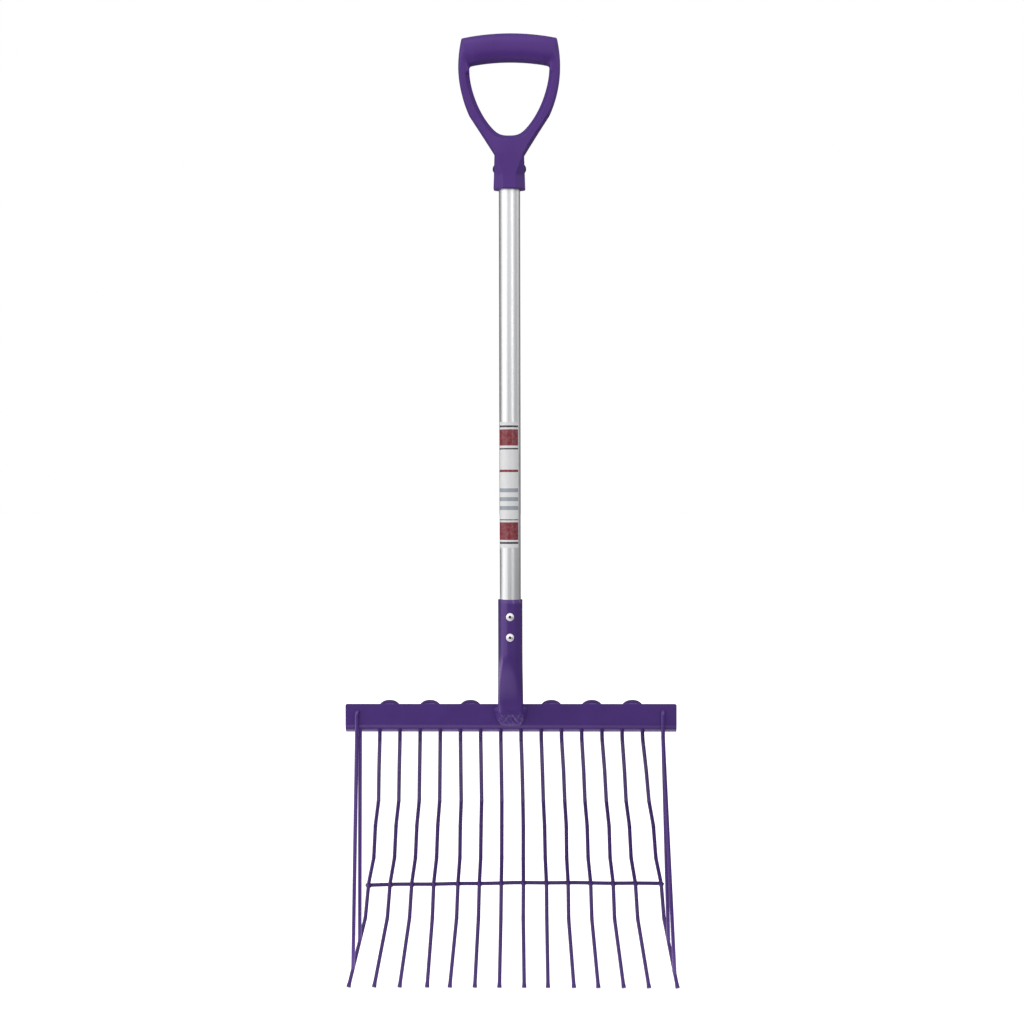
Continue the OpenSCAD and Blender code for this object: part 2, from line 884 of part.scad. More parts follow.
// Lower end of a guard leg, resting on the hollow side of the outer tine
function guard_end(side, z) = let (
    here = tip_run_point(side < 0 ? 0 : tine_count - 1, z),
    lean = tine_slope[last_run]
) here + wire_d * [0, -cos(lean), -sin(lean)];
function guard_outer_points(side) = [
    [side * (guard_x + guard_skew), guard_front_y, guard_turn_z],
    [side * (guard_x + guard_skew), guard_front_y, bar_z - tine_drop[0]],
    guard_end(side, guard_outer_z)
];
function guard_inner_points(side) = [
    [side * guard_x, leg_y, guard_turn_z],
    [side * guard_x, leg_y, bar_z - tine_drop[0]],
    guard_end(side, guard_inner_z)
];

module guard_wire(side) {
    outer = bent_path(guard_outer_points(side), tine_bend_r);
    inner = bent_path(guard_inner_points(side), tine_bend_r);
    wire_tube(concat(backwards(outer), half_turn_path(outer[0][0], inner[0][0]), inner), [1, 0, 0]);
}

module left_guard() {
    standing(purple_coat)
        guard_wire(-1);
}

module right_guard() {
    standing(purple_coat)
        guard_wire(1);
}

module guard_welds(side) {
    outer_tine = side < 0 ? 0 : tine_count - 1;
    standing(purple_coat)
        for (leg = [guard_outer_points(side), guard_inner_points(side)]) {
            end = leg[2];
            way = unit(leg[2] - leg[1]);
            seat = tip_run_point(outer_tine, end[2] + wire_d * sin(tine_slope[last_run]));
            tine_way = unit(tip_run_point(outer_tine, 0) - seat);
            difference() {
                translate((end + seat) / 2)
                    sphere(r = weld_spot_r);
                straight_wire(seat - tine_way * wire_d * 2, seat + tine_way * wire_d * 2);
                straight_wire(end - way * wire_d * 2, end);
            }
        }
}

module left_guard_welds() {
    guard_welds(-1);
}

module right_guard_welds() {
    guard_welds(1);
}

grip();
left_grip_rivet();
right_grip_rivet();
grip_rivet_mandrels();
shaft();
shaft_label();
head_socket();
upper_socket_rivet();
lower_socket_rivet();
socket_rivet_mandrels();
socket_weld();
crossbar();
tine_pair_1();
tine_pair_2();
tine_pair_3();
tine_pair_4();
tine_pair_5();
tine_pair_6();
tine_pair_7();
tine_welds();
cross_wire();
cross_wire_welds();
left_guard();
left_guard_welds();
right_guard();
right_guard_welds();
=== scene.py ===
import math
import bpy
import numpy as np
from mathutils import Matrix, Vector


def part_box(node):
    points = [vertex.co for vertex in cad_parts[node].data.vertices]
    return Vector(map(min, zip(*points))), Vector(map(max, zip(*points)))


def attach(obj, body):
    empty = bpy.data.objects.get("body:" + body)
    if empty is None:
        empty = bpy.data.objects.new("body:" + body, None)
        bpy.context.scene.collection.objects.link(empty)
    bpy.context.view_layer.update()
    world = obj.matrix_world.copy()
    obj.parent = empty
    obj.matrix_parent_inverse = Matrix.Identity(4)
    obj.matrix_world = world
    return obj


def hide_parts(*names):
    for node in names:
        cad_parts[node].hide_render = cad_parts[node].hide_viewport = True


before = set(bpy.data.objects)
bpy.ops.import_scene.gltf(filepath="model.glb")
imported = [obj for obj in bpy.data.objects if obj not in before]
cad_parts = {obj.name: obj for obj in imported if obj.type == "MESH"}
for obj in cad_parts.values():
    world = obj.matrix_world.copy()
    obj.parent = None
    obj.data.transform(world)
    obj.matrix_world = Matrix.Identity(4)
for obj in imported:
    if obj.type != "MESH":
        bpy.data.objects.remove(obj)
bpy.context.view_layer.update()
mm = 0.001

# places read from the solids, in metres
shaftLow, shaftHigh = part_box("shaft")
barLow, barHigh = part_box("crossbar")
socketLow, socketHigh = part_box("head_socket")
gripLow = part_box("grip")[0]
labelLow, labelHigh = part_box("shaft_label")
wireLow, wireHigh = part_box("cross_wire")
axisY = (shaftLow.y + shaftHigh.y) / 2
shaftRadius = (shaftHigh.x - shaftLow.x) / 2
socketRadius = barLow.y - axisY

# sizes from here on are in millimetres: plate thickness, gap at a weld, coat on the thin wires
steel = dict(plate=2.0, gap=0.1, coat=0.35)
# front face, foot and top edge of the crossbar
faceY, footZ, topZ = barLow.y / mm, barLow.z / mm, barHigh.z / mm
wireR = (wireHigh.z - wireLow.z) / 2 / mm
coatedR = wireR + steel["coat"]
legY = faceY + steel["plate"] + steel["gap"] + wireR  # the wires stand behind the plate


# arrays

def smooth(t):
    # eased share: 3 t squared minus 2 t cubed, held between 0 and 1
    t = np.clip(t, 0, 1)
    return t * t * (3 - 2 * t)


def wholeTurn(sides):
    # even angles round one turn
    return 2 * math.pi * np.arange(sides) / sides


def signedPower(values, power):
    # power of each value's size, with the value's sign
    return np.sign(values) * np.abs(values) ** power


def alongPath(path):
    # length from the start of a polyline to each of its points
    return np.concatenate([[0], np.cumsum(np.linalg.norm(np.diff(path, axis=0), axis=1))])


def resample(path, places):
    # points of a polyline at the given lengths along it
    along = alongPath(path)
    return np.stack([np.interp(places, along, column) for column in path.T], -1)


def runningMean(line, kernel):
    # weighted mean of each point with its neighbours; past its ends the line goes on as its point reflection
    half = len(kernel) // 2
    padded = np.concatenate([2 * line[:1] - line[half:0:-1], line, 2 * line[-1:] - line[-2:-half - 2:-1]])
    return np.stack([np.convolve(column, kernel, "valid") for column in padded.T], -1)


# faces and meshes

def gridFaces(rows, cols, closed=True, looped=False):
    # each quad joins rows i, i+1 with columns j, j+1; closed wraps the columns, looped wraps the rows
    i, j = np.meshgrid(np.arange(rows - (not looped)), np.arange(cols - (not closed)), indexing="ij")
    below, beside = (i + 1) % rows, (j + 1) % cols
    quads = np.stack([i * cols + j, i * cols + beside, below * cols + beside, below * cols + j], -1)
    return quads.reshape(-1, 4)


def fanFaces(ring, pole):
    # triangles from a closed ring of indices to one pole
    return np.stack([ring, np.roll(ring, -1), np.full(len(ring), pole)], -1)


def cappedFaces(rows, cols):
    # closed grid with a fan at each end to one of the two poles that follow its points
    first, count = np.arange(cols), rows * cols
    return [gridFaces(rows, cols), fanFaces(first[::-1], count), fanFaces(first + count - cols, count + 1)]


def thickPatch(front, back):
    # two open grids of the same size, joined all round their rims by walls
    rows, cols = front.shape[:2]
    count = rows * cols
    index = np.arange(count).reshape(rows, cols)
    rim = np.concatenate([index[0, :-1], index[:-1, -1], index[-1, :0:-1], index[:0:-1, 0]])
    beside = np.roll(rim, -1)
    quads = gridFaces(rows, cols, closed=False)
    walls = np.stack([rim + count, beside + count, beside, rim], -1)
    points = np.concatenate([front.reshape(-1, 3), back.reshape(-1, 3)])
    return points, [quads, quads[:, ::-1] + count, walls]


def outward(points, faces):
    # signed volume of the fans from the origin; a negative one means the faces point inwards
    total = 0.0
    for group in faces:
        a = points[group[:, 0]]
        for k in range(1, group.shape[1] - 1):
            total += np.einsum("ij,ij->i", a, np.cross(points[group[:, k]], points[group[:, k + 1]])).sum()
    return faces if total > 0 else [group[:, ::-1] for group in faces]


def joined(parts):
    # several closed surfaces as one list of points and faces, each part's indices moved past those before it
    points, faces, start = [], [], 0
    for partPoints, partFaces in parts:
        points.append(partPoints)
        faces += [group + start for group in partFaces]
        start += len(partPoints)
    return np.concatenate(points), faces


def newObject(name, points, faces):
    # mesh object at the origin, with its place in its mesh
    mesh = bpy.data.meshes.new(name)
    mesh.from_pydata(points.tolist(), [], [face for group in faces for face in group.tolist()])
    thing = bpy.data.objects.new(name, mesh)
    bpy.context.collection.objects.link(thing)
    return thing


def shadeSmooth(mesh, sharp):
    # smooth faces, with the edges that bend by more than the given angle kept sharp
    mesh.polygons.foreach_set("use_smooth", np.ones(len(mesh.polygons), bool))
    mesh.set_sharp_from_angle(angle=math.radians(sharp))


def makePiece(name, points, faces, slot, nodes, material, sharp=35):
    # one piece of the fork, its faces turned outwards, in place of its solids
    piece = newObject(name, points, outward(points, faces))
    shadeSmooth(piece.data, sharp)
    piece.data.materials.append(material)
    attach(piece, "root")
    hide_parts(*nodes)
    print("made", name, len(points), "points")
    return piece


# finishes, each with its own pattern on object coordinates

def newMaterial(name):
    # material with one shader, ready for its inputs
    material = bpy.data.materials.new(name)
    material.use_nodes = True
    return material, material.node_tree, material.node_tree.nodes["Principled BSDF"]


def setInputs(tree, node, inputs):
    # each input gets a plain value, or a link where another node's output is given
    for socket, value in inputs.items():
        if isinstance(value, bpy.types.NodeSocket):
            tree.links.new(value, node.inputs[socket])
        else:
            node.inputs[socket].default_value = value


def addNode(tree, kind, inputs, **settings):
    # new node of a kind, its settings first because they choose its inputs
    node = tree.nodes.new("ShaderNode" + kind)
    for key, value in settings.items():
        setattr(node, key, value)
    setInputs(tree, node, inputs)
    return node


def addNoise(tree, scale, detail, stretch=(1, 1, 1)):
    # noise on object coordinates, stretched per axis
    place = addNode(tree, "TexCoord", {}).outputs["Object"]
    vector = addNode(tree, "Mapping", {"Vector": place, "Scale": stretch}).outputs["Vector"]
    return addNode(tree, "TexNoise", {"Vector": vector, "Scale": scale, "Detail": detail}).outputs["Fac"]


def addRamp(tree, source, stops):
    # colours at the given places of the source's run from 0 to 1
    ramp = addNode(tree, "ValToRGB", {"Fac": source})
    elements = ramp.color_ramp.elements
    while len(elements) < len(stops):
        elements.new(0.5)
    for element, (place, colour) in zip(elements, stops):
        element.position = place
        element.color = (*colour, 1)
    return ramp.outputs["Color"]


def addRange(tree, source, low, high):
    # the source's run from 0 to 1 spread from low to high
    return addNode(tree, "MapRange", {"Value": source, "To Min": low, "To Max": high}).outputs["Result"]


def addBump(tree, height, strength, distance):
    # normal tilted by the slope of a height
    bump = addNode(tree, "Bump", {"Height": height, "Strength": strength, "Distance": distance})
    return bump.outputs["Normal"]


def patternFinish(name, look):
    # colour from dark to light by the drift noise, roughness over the gloss range by the grain noise, normal
    # tilted by the peel noise; noises that are alike share a node, and sockets hold what is the same all over
    material, tree, shader = newMaterial(name)
    noise = {}
    for key in ("drift", "grain", "peel"):
        if look[key] not in noise:
            noise[look[key]] = addNoise(tree, *look[key])
    stops = list(zip(look["spread"], (look["dark"], look["light"])))
    setInputs(tree, shader, {
        "Base Color": addRamp(tree, noise[look["drift"]], stops),
        "Roughness": addRange(tree, noise[look["grain"]], *look["gloss"]),
        "Normal": addBump(tree, noise[look["peel"]], *look["bump"]),
        **look["sockets"],
    })
    return material


purpleGloss = (0.78, 0.56, 1, 1)  # tint of the reflections on coat and plastic

# baked powder coat: slow colour drift, fine orange peel
coat = dict(dark=(0.054, 0.0228, 0.158), light=(0.066, 0.0282, 0.189), spread=(0.3, 0.7), gloss=(0.17, 0.25),
            drift=(18, 4), grain=(60, 2), peel=(900, 2), bump=(0.10, 0.0003))

# moulded plastic: satin skin with a fine spark grain
plastic = dict(dark=(0.073, 0.0262, 0.200), light=(0.087, 0.0325, 0.236), spread=(0.3, 0.7),
               gloss=(0.36, 0.46), drift=(12, 3), grain=(45, 2), peel=(2200, 2), bump=(0.10, 0.0002),
               sockets={"Specular IOR Level": 0.5, "Specular Tint": purpleGloss})

# extruded tube: fine lines along the length and cloudy anodising
drawnLines = (900, 2, (1, 1, 0.004))
aluminium = dict(dark=(0.74, 0.745, 0.76), light=(0.88, 0.885, 0.895), spread=(0.25, 0.75),
                 gloss=(0.30, 0.42), drift=drawnLines, grain=(30, 3), peel=drawnLines,
                 bump=(0.15, 0.0001), sockets={"Metallic": 1.0})

# pressed rivet heads: bright with faint scuffs
scuffs = (700, 4)
brightRivet = dict(dark=(0.86, 0.83, 0.86), light=(0.98, 0.95, 0.98), spread=(0.3, 0.7), gloss=(0.34, 0.50),
                   drift=scuffs, grain=scuffs, peel=scuffs, bump=(0.2, 0.0001), sockets={"Metallic": 1.0})

# the grip's rivets: dark metal, two dark tones mixed by a noise
darkRivetNoise = (500, 4)
darkRivet = dict(dark=(0.030, 0.016, 0.034), light=(0.085, 0.050, 0.090), spread=(0.3, 0.7),
                    gloss=(0.34, 0.50), drift=darkRivetNoise, grain=darkRivetNoise, peel=darkRivetNoise, bump=(0.2, 0.0001),
                    sockets={"Metallic": 0.7})

# broken mandrel ends: dark, coarse steel
breaks = (1500, 4)
brokenSteel = dict(dark=(0.02, 0.02, 0.022), light=(0.06, 0.06, 0.065), spread=(0.3, 0.7), gloss=(0.4, 0.6),
                   drift=breaks, grain=breaks, peel=breaks, bump=(0.5, 0.0003), sockets={"Metallic": 0.6})


def purpleCoat(name, shade, level):
    # the powder coat with both of its colours times a shade, at its own level of shine
    dark, light = (tuple(shade * c for c in coat[key]) for key in ("dark", "light"))
    sockets = {"Specular IOR Level": level, "Specular Tint": purpleGloss}
    return patternFinish(name, {**coat, "dark": dark, "light": light, "sockets": sockets})


labelPrint = dict(
    white=(0.78, 0.78, 0.79), red=(0.22, 0.018, 0.03), dark=(0.045, 0.04, 0.055), grey=(0.33, 0.36, 0.41),
    worn=(260, 4), fade=(-0.10, 0.16), gloss=(0.16, 0.30), wave=(120, 2), bump=(0.05, 0.0002),
    bands=[  # lower edge of each band as a share of the label's height
        (0.0, "white"), (0.03, "dark"), (0.045, "white"), (0.06, "red"), (0.20, "white"), (0.215, "dark"),
        (0.225, "white"), (0.30, "grey"), (0.33, "white"), (0.37, "grey"), (0.40, "white"), (0.44, "grey"),
        (0.47, "white"), (0.60, "red"), (0.62, "white"), (0.78, "dark"), (0.79, "white"), (0.81, "red"),
        (0.94, "white"), (0.955, "dark"), (0.97, "white"),
    ],
)


def printedFilm():
    # glossy film with plain bands by the height share in the piece's own map, faded to white by a noise
    s = labelPrint
    material, tree, shader = newMaterial("printedFilm")
    place = addNode(tree, "UVMap", {}, uv_map="bands").outputs["UV"]
    height = addNode(tree, "SeparateXYZ", {"Vector": place}).outputs["Y"]
    colour = addRamp(tree, height, [(share, s[name]) for share, name in s["bands"]])
    colour.node.color_ramp.interpolation = "CONSTANT"
    worn = addNoise(tree, *s["worn"])
    faded = {"Factor": addRange(tree, worn, *s["fade"]), "A": colour, "B": (*s["white"], 1)}
    setInputs(tree, shader, {
        "Base Color": addNode(tree, "Mix", faded, data_type="RGBA").outputs["Result"],
        "Roughness": addRange(tree, worn, *s["gloss"]),
        "Normal": addBump(tree, addNoise(tree, *s["wave"]), *s["bump"]),
    })
    return material


coatFinish = purpleCoat("purpleCoat", 1.0, 0.9)
shadedWireFinish = purpleCoat("shadedWireCoat", 0.70, 0.55)  # painted shade: a darker copy of the coat for the tines, cross wire and their spots, which look darker than the plate
litGuardFinish = purpleCoat("guardCoat", 1.1, 0.9)  # painted light: a lighter copy of the coat for the guards and their spots
litWeldFinish = purpleCoat("litWeldCoat", 1.1, 0.5)  # the rough weld shines less, and its colour is a lighter copy of the coat as painted light
plasticFinish = patternFinish("purplePlastic", plastic)
aluminiumFinish = patternFinish("drawnAluminium", aluminium)
rivetFinish = patternFinish("rivetAluminium", brightRivet)
darkRivetFinish = patternFinish("darkRivetAluminium", darkRivet)
mandrelFinish = patternFinish("mandrelSteel", brokenSteel)
filmFinish = printedFilm()
print("finishes ready")


# shaft

shaftTube = dict(wall=1.5, edge=0.3, sides=96)


def buildShaft():
    # profile of outer wall, inner wall and rounded rims, carried round the shaft's axis by cosine and sine
    s = shaftTube
    edge, low, high = s["edge"] * mm, shaftLow.z, shaftHigh.z
    outer, inner = shaftRadius, shaftRadius - s["wall"] * mm
    profile = np.array([
        (outer - edge, low), (outer, low + edge), (outer, high - edge), (outer - edge, high),
        (inner + edge, high), (inner, high - edge), (inner, low + edge), (inner + edge, low),
    ])
    a = wholeTurn(s["sides"])
    r, z = profile[:, :1], profile[:, 1:]
    points = np.stack([r * np.cos(a), axisY + r * np.sin(a), z + 0 * a], -1)
    return points.reshape(-1, 3), [gridFaces(len(profile), s["sides"], looped=True)]


makePiece("shaftTube", *buildShaft(), "satin_aluminium", ["shaft"], aluminiumFinish)


# label

# angles round the shaft in degrees
labelFilm = dict(glue=0.05, film=0.2, middle=-100, half=60, cols=36, rows=48)


def buildLabel():
    # patch of a cylinder, its angle by column and its height by row, with an outer and an inner skin
    s = labelFilm
    a = np.radians(s["middle"] + s["half"] * np.linspace(-1, 1, s["cols"]))[None]
    z = np.linspace(labelLow.z, labelHigh.z, s["rows"])[:, None]
    inner = shaftRadius + s["glue"] * mm
    skins = [np.stack([r * np.cos(a) + 0 * z, axisY + r * np.sin(a) + 0 * z, z + 0 * a], -1)
             for r in (inner + s["film"] * mm, inner)]
    return thickPatch(*skins)


def mapBands(film):
    # the map runs from 0 to 1 over the label's width and over its height
    bands = film.data.uv_layers.new(name="bands")
    corner = np.zeros(len(film.data.loops), np.int32)
    film.data.loops.foreach_get("vertex_index", corner)
    place = np.zeros(len(film.data.vertices) * 3)
    film.data.vertices.foreach_get("co", place)
    place = place.reshape(-1, 3)[corner]
    share = (place - np.array(labelLow)) / np.array(labelHigh - labelLow)
    bands.data.foreach_set("uv", share[:, [0, 2]].ravel())


mapBands(makePiece("labelFilm", *buildLabel(), "label_film", ["shaft_label"], filmFinish))


# grip: half of it is one grid of sections from foot to bar, and the other half is its mirror image

gripShape = dict(
    footHalf=20.8, neckHalf=19.2, neckZ=46.5, flare=0.655, straightZ=75.0, bore=14.1, boreDeep=46.0,
    footEdge=1.1, sideR=155.0, sideX=88.1, sideZ=162.5, sideTopZ=199.0, topR=313.0, topHalf=64.0,
    height=205.0, barHigh=37.5, openHalf=52.7, openWideZ=157.0, openLowZ=70.4, openPower=1.6,
    openSpread=0.525, openFoot=0.12, openEase=0.09, cornerOut=1.2, cornerIn=2.5, step=0.25,
    bevelWide=6.0, bevelEdge=0.45, bevelSoft=0.08, bevelFree=1.3, bevelRun=22.0, bevelStep=1.5,
    barTurn=0.93, barPower=0.8, wall=6,
    columns=(9, 12, 16),  # over the side, the corner and the front of a section
    # depth at the side, reach and depth at the front
    neckCorner=(0.90, 0.04, 1.0), armCorner=(0.62, 0.14, 0.94),
)


def topArc(radius, half):
    # circle from half to the left up to the middle line, about the centre of the top arc
    x = np.linspace(-half, 0, 300)
    return np.stack([x, gripShape["height"] - gripShape["topR"] + np.sqrt(radius ** 2 - x ** 2)], -1)


def softened(line, reach):
    # running mean over the given reach along the line, which rounds its sharp corners
    step = gripShape["step"]
    even = resample(line, np.arange(0, alongPath(line)[-1] + step / 2, step))
    count = 2 * max(1, int(reach / step)) + 1
    return runningMean(even, np.ones(count) / count)


def gripOuter():
    # outer edge of the left half: straight socket, then a straight flare or the side arc, whichever is
    # further in, then the top arc
    g = gripShape
    socket = np.array([[-g["footHalf"], 0], [-g["neckHalf"], g["neckZ"]]])
    z = np.linspace(g["neckZ"] + 0.4, g["sideTopZ"], 500)
    arc = np.sqrt(g["sideR"] ** 2 - (z - g["sideZ"]) ** 2) - g["sideX"]
    straight = g["neckHalf"] + g["flare"] * (z - g["neckZ"])
    side = np.stack([-np.where(z < g["straightZ"], straight, np.minimum(arc, straight)), z], -1)
    top = topArc(g["topR"], g["topHalf"])
    side = side[side[:, 1] < np.interp(side[:, 0], top[:, 0], top[:, 1])]
    top = top[top[:, 0] > side[-1, 0] + 0.2]
    return softened(np.concatenate([socket, side, top]), g["cornerOut"])


def gripInner():
    # edge of the opening, left half: middle line, then half width times (1 minus a power of the drop) to a
    # power near 0.5, smaller at the foot, then the underside of the bar
    g = gripShape
    drop = 1 - np.linspace(0, 1, 400) ** 2
    spread = g["openSpread"] - g["openFoot"] * np.exp((drop - 1) / g["openEase"])
    x = -g["openHalf"] * (1 - drop ** g["openPower"]) ** spread
    side = np.stack([x, g["openWideZ"] - (g["openWideZ"] - g["openLowZ"]) * drop], -1)
    under = topArc(g["topR"] - g["barHigh"], g["openHalf"])
    stem = np.stack([np.zeros(200), np.linspace(0, g["openLowZ"], 200)], -1)
    return np.concatenate([stem, softened(np.concatenate([side, under]), g["cornerIn"])[1:]])


def placeOn(line, target):
    # length along a line to its point nearest the target
    return alongPath(line)[np.argmin(np.linalg.norm(line - np.asarray(target), axis=1))]


# pairs of points on the outer edge and on the opening that one section joins, with the rows between them,
# the half depth there and the shares of the four kinds of section
gripKeys = [
    # outer point, inner point, rows before, half depth, foot, neck, arm, bar
    ((-20.8, 0), (0, 0), 0, 20.8, 1, 0, 0, 0),
    ((-20.2, 18), (0, 18), 12, 20.2, 1, 0, 0, 0),
    ((-19.2, 46.5), (0, 46.5), 24, 19.0, 0, 1, 0, 0),
    ((-25.0, 55.4), (0, 70.4), 30, 17.0, 0, 0.7, 0.3, 0),
    ((-36, 71.5), (-18, 76), 18, 14.4, 0, 0.15, 0.85, 0),
    ((-48, 89), (-33, 98), 20, 12.6, 0, 0, 1, 0),
    ((-62, 125), (-47, 125), 28, 11.8, 0, 0, 1, 0),
    ((-66.4, 157), (-52.4, 150), 26, 11.8, 0, 0, 1, 0),
    ((-65.8, 176), (-52.3, 159.5), 16, 12.6, 0, 0, 0.7, 0.3),
    ((-62.2, 198.3), (-50.8, 162.8), 22, 14.2, 0, 0, 0.2, 0.8),
    ((-48, 201.3), (-44, 163.9), 20, 15.4, 0, 0, 0, 1),
    ((0, 205), (0, 167.5), 30, 15.5, 0, 0, 0, 1),
]


def gripRows():
    # each section's ends, half depth and shares: keys with even rows between, eased by a mean of three
    outer, inner = gripOuter(), gripInner()
    keys = [np.array([placeOn(outer, key[0]), placeOn(inner, key[1]), *key[3:]]) for key in gripKeys]
    table = [keys[0][None]]
    for before, here, key in zip(keys[:-1], keys[1:], gripKeys[1:]):
        t = np.linspace(0, 1, key[2] + 1)[1:, None]
        table.append(before * (1 - t) + here * t)
    table = np.concatenate(table)
    for k in range(2, table.shape[1]):
        column = np.concatenate([table[:1, k], table[:, k], table[-1:, k]])
        table[:, k] = np.convolve(column, np.ones(3) / 3, "valid")
    outerAt, innerAt = resample(outer, table[:, 0]), resample(inner, table[:, 1])
    openAt = placeOn(inner, (0, gripShape["openLowZ"]))
    innerAt[:, 0] = np.minimum(innerAt[:, 0], 0)
    innerAt[table[:, 1] <= openAt + 1e-6, 0] = 0
    outerAt[-1, 0] = innerAt[-1, 0] = 0
    edge = resample(inner, np.arange(openAt, alongPath(inner)[-1], gripShape["bevelStep"]))
    return outerAt, innerAt, edge, table[:, 2], table[:, 3:]


def sectionOf(rise, reach, high):
    # straight runs (across, depth) from the side's middle over its corner to the front, rounded by a mean
    corners = np.array([(0, 0), (0, rise), (reach, high), (1, 1)], float)
    runs = [np.linspace(a, b, n + 1)[:-1] for a, b, n in zip(corners[:-1], corners[1:], gripShape["columns"])]
    return runningMean(np.concatenate(runs + [corners[-1:]]), np.array([1, 2, 1]) / 4)


def gripSections(shares):
    # every row's (across, depth) columns, a mean of four kinds: octagon at the foot, neck, arm, and the bar's
    # squarish round from powers of cosine and sine
    g = gripShape
    eighth = math.tan(math.pi / 8)
    foot = sectionOf(eighth, 1 - eighth, 1)
    neck, arm = sectionOf(*g["neckCorner"]), sectionOf(*g["armCorner"])
    a, power = np.linspace(0, g["barTurn"] * math.pi, len(foot)), g["barPower"]
    bar = np.stack([(1 - signedPower(np.cos(a), power)) / 2, signedPower(np.sin(a), power)], -1)
    return np.einsum("rk,kcx->rcx", shares / shares.sum(1, keepdims=True), np.stack([foot, neck, arm, bar]))


def softLeast(a, b, reach):
    # the smaller of a and b, rounded where they are within reach of each other
    h = np.clip(0.5 + (b - a) / (2 * reach), 0, 1)
    return b * (1 - h) + a * h - reach * h * (1 - h)


def awayFrom(line, points):
    # least distance from each point to the segments of a line
    a, run = line[:-1], np.diff(line, axis=0)
    off = points[..., None, :] - a
    t = np.clip((off * run).sum(-1) / (run ** 2).sum(-1), 0, 1)
    return np.linalg.norm(off - t[..., None] * run, axis=-1).min(-1)


def gripGrid():
    # left half: across from outer edge to opening by the section's first number, depth by its second
    g = gripShape
    outerAt, innerAt, edge, halfDepth, shares = gripRows()
    section = gripSections(shares)
    run = (innerAt - outerAt)[:, None]

    # bevel round the opening: the depth may grow only with the distance to its edge, but not under the bar
    flat = outerAt[:, None] + section[..., :1] * run
    limit = g["bevelEdge"] + (1 - g["bevelEdge"]) * awayFrom(edge, flat) / g["bevelWide"]
    limit = limit + g["bevelFree"] * smooth((innerAt[:, 1:] - g["openWideZ"]) / g["bevelRun"] + 0.5)
    section[..., 1] = softLeast(section[..., 1], limit, g["bevelSoft"])

    # the wall of the opening runs from the section's last point down to depth nought
    across, depth = section[:, -1:, :1], section[:, -1:, 1:]
    down = np.linspace(1, 0, g["wall"] + 1)[None, 1:, None]
    wall = np.concatenate([across + (1 - across) * np.sqrt(1 - down ** 2), depth * down], -1)
    section = np.concatenate([section, wall], 1)
    whole = np.concatenate([section[:, ::-1], section[:, 1:-1] * np.array([1, -1])], 1)
    flat = outerAt[:, None] + whole[..., :1] * run
    return np.concatenate([flat[..., :1], -whole[..., 1:] * halfDepth[:, None, None], flat[..., 1:]], -1)


def buildGrip():
    # bore, the foot's rounded rim, then the grid without the wall below the opening, and its mirror image
    g = gripShape
    points = gripGrid()
    cols, wall = points.shape[1], g["wall"]
    crotch = int(np.argmin(np.abs(points[:, 0, 2] - g["openLowZ"]) + 1e3 * (points[:, 0, 0] < -1e-6)))
    foot, up = points[0].copy(), np.array([0, 0, 1])
    a = np.arctan2(-foot[:, 1], -foot[:, 0])
    bore = g["bore"] * np.stack([-np.cos(a), -np.sin(a), 0 * a], -1)
    rim = g["footEdge"] / g["footHalf"]
    edgeRow = foot * (1 - 0.3 * rim) + up * 0.3 * g["footEdge"]
    below = [bore + up * g["boreDeep"], bore, foot * (1 - rim), edgeRow]
    points[0] = foot + up * g["footEdge"]
    grid = np.concatenate([below, points])
    flat = np.concatenate([grid.reshape(-1, 3), [up * g["boreDeep"]]]) * mm
    quads = gridFaces(len(grid), cols)
    row, col = quads[:, 0] // cols, quads[:, 0] % cols
    inWall = (col < wall) | (col >= cols - wall)
    quads = quads[~(inWall & (row < crotch + len(below)))]
    ring = np.arange(wall, cols - wall)
    fan = np.stack([np.full(len(ring), len(flat) - 1), ring + 1, ring], -1)

    # mirror image, sharing the points on the middle plane
    count = len(flat)
    twin = np.where(np.abs(flat[:, 0]) < 1e-7, np.arange(count), np.arange(count) + count)
    both = np.concatenate([flat, flat * np.array([-1, 1, 1])])
    quads = np.concatenate([quads, twin[quads][:, ::-1]])
    fan = np.concatenate([fan, twin[fan][:, ::-1]])
    used = np.unique(np.concatenate([quads.ravel(), fan.ravel()]))
    renumber = np.zeros(len(both), int)
    renumber[used] = np.arange(len(used))
    return both[used] + np.array([0, axisY, gripLow.z]), [renumber[quads], renumber[fan]]


makePiece("gripBody", *buildGrip(), "purple_plastic", ["grip"], plasticFinish, sharp=40)


# blind rivets and their mandrels, turned about their own axes

rivetShape = dict(head=5.25, high=2.2, bore=1.8, lip=0.25, shank=2.4, bulge=3.4, tail=5.0, rim=0.35, sides=40)
mandrelShape = dict(radius=1.78, recess=0.55, tail=9.0, core=0.35, rough=0.12, sides=24)
socketRivets = dict(upper="upper_socket_rivet", lower="lower_socket_rivet", stack=4.2)
gripRivets = dict(foot=20.8, neck=19.3, neckZ=46.5, rise=27.5, stack=8.1)


def spun(profile, lift, sides, origin, out, up):
    # each profile point (radius, height) carried round the axis out: radius times cosine sideways and sine
    # upwards, height plus lift outwards
    a = wholeTurn(sides)[:, None]
    out, up = np.asarray(out, float), np.asarray(up, float)
    ring = np.cos(a) * np.cross(up, out) + np.sin(a) * up
    points = profile[:, :1, None] * ring + (profile[:, 1:] + lift)[..., None] * out
    return points.reshape(-1, 3) * mm + np.asarray(origin)


